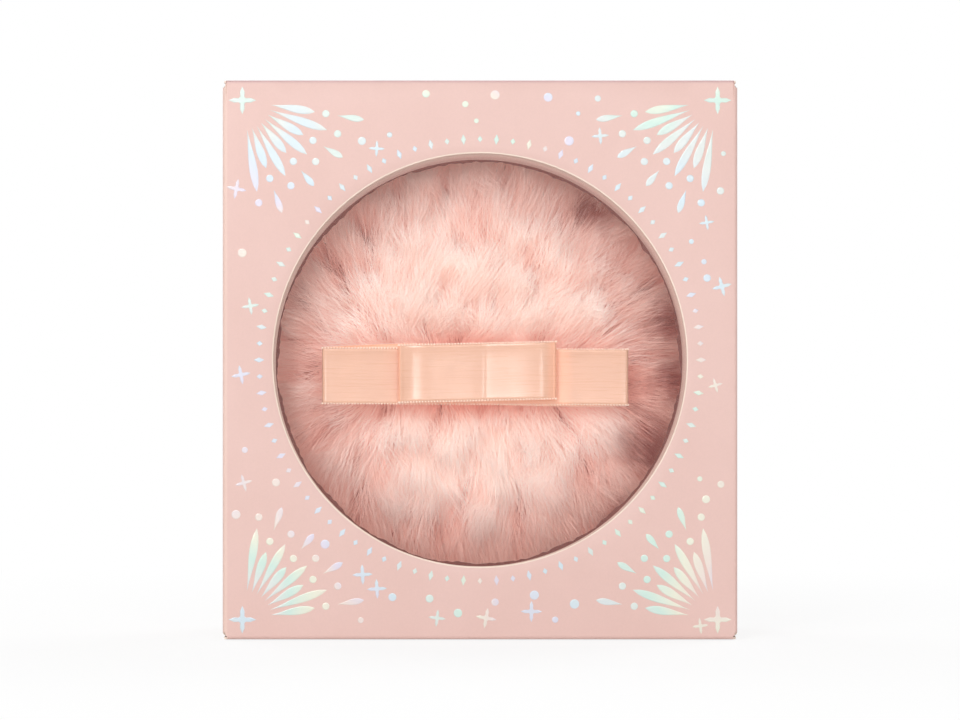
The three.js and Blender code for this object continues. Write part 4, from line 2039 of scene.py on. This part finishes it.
@dataclass
class FoilPrint:
    """Foil decoration on the front: sprays of drops in the corners and a ring of diamonds."""

    thickness: float = 0.03 * MM
    margin: float = 4.5 * MM
    star_size: float = 6.4 * MM
    spray_start: float = 6.5 * MM
    drops: int = 8
    drop_width: float = 1.9 * MM
    dot_gap: float = 2.4 * MM
    dot_size: float = 1.7 * MM
    far_gap: float = 2.6 * MM
    far_width: float = 1.5 * MM
    ring_gap: float = 3.2 * MM
    ring_count: int = 84
    ring_width: float = 1.15 * MM
    scatter: int = 46
    scatter_edge: float = 3.0 * MM
    scatter_ring: float = 6.4 * MM
    scatter_gap: float = 3.4 * MM
    seed: int = 11

    def build(self) -> None:
        """Stamps every motif."""
        drop, star, dot, diamond = self.motifs()
        self.sprays(drop, star, dot)
        self.ring(diamond)
        self.scattered(star, dot, (drop, star, dot))
        tree = stamping_tree()
        for motif in (drop, star, dot, diamond):
            shape = self.shape(motif)
            points = self.points(motif)
            tree.apply(points, Motif=shape, Finish=FOIL.material())
            bpy.data.objects.remove(shape)
            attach(points, "carton")
            LOG.info("%s: %d stamped", motif.name, len(motif.stamps))

    def motifs(self) -> tuple[Motif, Motif, Motif, Motif]:
        """Outlines of the drop, the sparkle, the dot and the diamond, a metre in size.

        Returns:
            The four motifs, not yet stamped.
        """
        shares = [step / 9 for step in range(10)]
        right = [(0.5 * math.sin(math.pi * share ** 1.7) ** 0.75, share) for share in shares]
        drop = right + [(-x, z) for x, z in right[-2:0:-1]]
        star = []
        for step in range(24):
            angle = 2 * math.pi * step / 24
            reach = 0.14 + 0.36 * abs(math.cos(2 * angle)) ** 5
            star.append((reach * math.sin(angle), reach * math.cos(angle)))
        dot = [(0.5 * math.sin(math.pi * s / 8), 0.5 * math.cos(math.pi * s / 8)) for s in range(16)]
        diamond = [(0.0, 0.5), (0.5, 0.0), (0.0, -0.5), (-0.5, 0.0)]
        return (
            Motif("foil_drops", drop), Motif("foil_sparkles", star), Motif("foil_dots", dot),
            Motif("foil_diamonds", diamond),
        )

    def sprays(self, drop: Motif, star: Motif, dot: Motif) -> None:
        """Fans drops out of each corner, in two tiers, with a sparkle where they meet.

        Args:
            drop: The drop.
            star: The sparkle.
            dot: The dot.
        """
        panel_low, panel_high = low("front_panel"), high("front_panel")
        for across, upward in ((-1, -1), (-1, 1), (1, -1), (1, 1)):
            x = across * (panel_high.x - self.margin)
            z = panel_high.z - self.margin if upward > 0 else panel_low.z + self.margin
            star.stamp(x, z, 0.0, self.star_size, self.star_size)
            for index in range(self.drops):
                share = (index + 0.5) / self.drops
                angle = math.radians(4 + 82 * share)
                dx, dz = -across * math.cos(angle), -upward * math.sin(angle)
                turn = math.atan2(dx, dz)
                middle = 1 - abs(2 * share - 1)
                length = (15.0 - 2.5 * middle) * MM if index % 2 else (10.5 - 1.5 * middle) * MM
                start = self.spray_start
                drop.stamp(x + dx * start, z + dz * start, turn, self.drop_width, length)
                after = start + length + self.dot_gap
                dot.stamp(x + dx * after, z + dz * after, 0.0, self.dot_size, self.dot_size)
                if index % 2 == 0:
                    far = after + self.far_gap
                    tall = (6.5 - 2.0 * middle) * MM
                    drop.stamp(x + dx * far, z + dz * far, turn, self.far_width, tall)

    def ring(self, diamond: Motif) -> None:
        """Sets diamonds round the window, large and small by turns.

        Args:
            diamond: The diamond.
        """
        x, z, radius = Carton().window
        reach = radius + self.ring_gap
        for index in range(self.ring_count):
            angle = 2 * math.pi * index / self.ring_count
            tall = (2.5 if index % 2 else 1.5) * MM
            across, upward = reach * math.sin(angle), reach * math.cos(angle)
            diamond.stamp(x + across, z + upward, angle, self.ring_width, tall)

    def scattered(self, star: Motif, dot: Motif, taken: Sequence[Motif]) -> None:
        """Strews small dots and sparkles over the free board between the motifs.

        Args:
            star: The sparkle.
            dot: The dot.
            taken: Motifs that keep their place.
        """
        chance = random.Random(self.seed)
        x, z, radius = Carton().window
        panel_low, panel_high = low("front_panel"), high("front_panel")
        edge = self.scatter_edge
        used = []
        for motif in taken:
            shares = (0.0, 0.25, 0.5, 0.75, 1.0) if motif.name == "foil_drops" else (0.0,)
            for px, pz, turn, _, tall in motif.stamps:
                for run in (share * tall for share in shares):
                    used.append((px + run * math.sin(turn), pz + run * math.cos(turn)))
        added = 0
        while added < self.scatter:
            px = chance.uniform(panel_low.x + edge, panel_high.x - edge)
            pz = chance.uniform(panel_low.z + edge, panel_high.z - edge)
            if math.dist((px, pz), (x, z)) < radius + self.scatter_ring:
                continue
            if min(math.dist((px, pz), other) for other in used) < self.scatter_gap:
                continue
            used.append((px, pz))
            added += 1
            if added % 3 == 0:
                size = chance.uniform(3.4, 5.0) * MM
                star.stamp(px, pz, chance.uniform(-0.3, 0.3), size, size)
            else:
                size = chance.uniform(1.0, 2.2) * MM
                dot.stamp(px, pz, 0.0, size, size)

    def shape(self, motif: Motif) -> bpy.types.Object:
        """Builds a motif as a thin raised patch that faces the front.

        Args:
            motif: The motif.

        Returns:
            The patch, a metre in size.
        """
        part = MeshPart("shape")
        middle = sum(z for _, z in motif.outline) / len(motif.outline)
        inset = motif.inset
        outer, inner = [], []
        for x, z in motif.outline:
            outer.append(part.point((x, 0.1, z)))
            inner.append(part.point((x * inset, -1.0, middle + (z - middle) * inset)))
        part.skin([outer, inner], closed=True)
        part.fan(inner, (0.0, -1.0, middle))
        return part.build([FOIL], outward=(0, -1, 0))

    def points(self, motif: Motif) -> bpy.types.Object:
        """Builds the stamps of a motif as loose points with their turn and size.

        Args:
            motif: The motif.

        Returns:
            The points.
        """
        front = low("front_panel").y
        return point_cloud(
            motif.name, [(x, front, z) for x, z, *_ in motif.stamps],
            turn=[(0.0, turn, 0.0) for _, _, turn, _, _ in motif.stamps],
            size=[(wide, self.thickness, tall) for *_, wide, tall in motif.stamps])


def stamping_tree() -> NodeGroup:
    """Builds the tree that sets one motif on every point, by the point's turn and size.

    Returns:
        The tree.
    """
    found = bpy.data.node_groups.get("stamping")
    if found is not None:
        bpy.data.node_groups.remove(found)
    g = NodeGroup("stamping", Motif="Object", Finish="Material")
    turned = g.get("FunctionNodeEulerToRotation", {0: g.read("turn")})
    g.close(g.stamp(g.input("Geometry"), "Motif", turned, g.read("size")))
    return g


@dataclass
class Studio:
    """Camera, lamps, floor and world."""

    distance: float = 0.9
    pixels_across: float = 515.0
    image_width: float = 960.0
    sensor: float = 36.0
    aim: Point = (0.0, 0.0, 0.065)
    floor_size: float = 6.0
    floor_level: float = -0.2 * MM
    lamps: tuple[tuple[str, Point, Pair, float], ...] = (
        ("key", (-0.36, -0.9, 0.62), (0.5, 0.5), 4.3),
        ("left strip", (-0.36, -1.25, 0.08), (0.12, 1.1), 5.6),
        ("right strip", (0.34, -1.25, 0.1), (0.12, 1.1), 4.2),
        ("front", (0.0, -1.5, 0.35), (0.8, 0.8), 1.8),
        ("rear left", (-0.8, 1.0, 0.45), (0.7, 0.7), 6.5),
        ("rear right", (0.8, 0.9, 0.6), (0.7, 0.7), 6.5),
    )

    def build(self) -> None:
        """Sets up the view and the light."""
        self.camera()
        for lamp in self.lamps:
            self.lamp(*lamp)
        self.floor()
        self.world()
        bpy.context.scene.view_settings.view_transform = "Standard"

    def camera(self) -> None:
        """Puts the camera straight in front of the window."""
        box_low, box_high = (Vector(corner) for corner in CAD_BOX)
        width = box_high.x - box_low.x
        data = bpy.data.cameras.new("camera")
        data.sensor_width = self.sensor
        data.lens = self.distance * self.pixels_across / width * self.sensor / self.image_width
        made = placed("camera", data)
        made.location = (0.0, box_low.y - self.distance, (box_low.z + box_high.z) / 2)
        made.rotation_euler = (math.radians(90), 0, 0)
        bpy.context.scene.camera = made

    def lamp(self, name: str, place: Point, size: Pair, power: float) -> None:
        """Adds a soft oblong lamp that faces the carton's middle.

        Args:
            name: The lamp.
            place: Where it hangs.
            size: Width and height.
            power: Watts.
        """
        data = bpy.data.lights.new(name, "AREA")
        data.shape = "RECTANGLE"
        data.size, data.size_y = size
        data.energy = power
        made = placed(name, data)
        made.location = place
        made.rotation_euler = (Vector(self.aim) - Vector(place)).to_track_quat("-Z", "Y").to_euler()

    def floor(self) -> None:
        """Lays a pale floor that keeps a faint shadow."""
        size = self.floor_size
        part = MeshPart("floor")
        corners = [(-size, -size), (size, -size), (size, size), (-size, size)]
        part.face([part.point((x, y, self.floor_level)) for x, y in corners])
        made = part.build([])
        material = bpy.data.materials.new("floor")
        material.use_nodes = True
        g = Graph(material.node_tree)
        shader = material.node_tree.nodes["Principled BSDF"]
        g.feed(shader.inputs["Base Color"], (0.9, 0.9, 0.9, 1))
        g.feed(shader.inputs["Roughness"], 0.9)
        path = g.add("ShaderNodeLightPath")
        camera, through, mirrored = (
            Value(g, path.outputs[f"Is {kind} Ray"]) for kind in ("Camera", "Transmission", "Glossy"))
        share = camera.most(through).most(mirrored) * g.place.length().to((0.1, 0.3), (0.82, 1.0))
        mixed = g.get("ShaderNodeMixShader", {
            0: share, 1: Value(g, shader.outputs[0]), 2: g.get("ShaderNodeEmission", {"Strength": 1.0}),
        })
        g.feed(material.node_tree.nodes["Material Output"].inputs["Surface"], mixed)
        made.data.materials.append(material)

    def world(self) -> None:
        """Gives an even pale surrounding, white where the camera sees it."""
        world = bpy.data.worlds.new("studio")
        bpy.context.scene.world = world
        world.use_nodes = True
        g = Graph(world.node_tree)
        back = world.node_tree.nodes["Background"]
        g.feed(back.inputs["Color"], (1, 1, 1, 1))
        path = g.add("ShaderNodeLightPath")
        camera, through = (Value(g, path.outputs[f"Is {kind} Ray"]) for kind in ("Camera", "Transmission"))
        g.feed(back.inputs["Strength"], camera.most(through).to(UP, (0.5, 1.0)))


def main() -> None:
    """Builds every sub-assembly in order."""
    logging.basicConfig(level=logging.INFO, format="%(name)s: %(message)s")
    Studio().build()
    Carton().build()
    for end in End:
        Closure(end).build()
    Puff().build()
    Bow().build()
    FoilPrint().build()


if __name__ == "__main__":
    main()
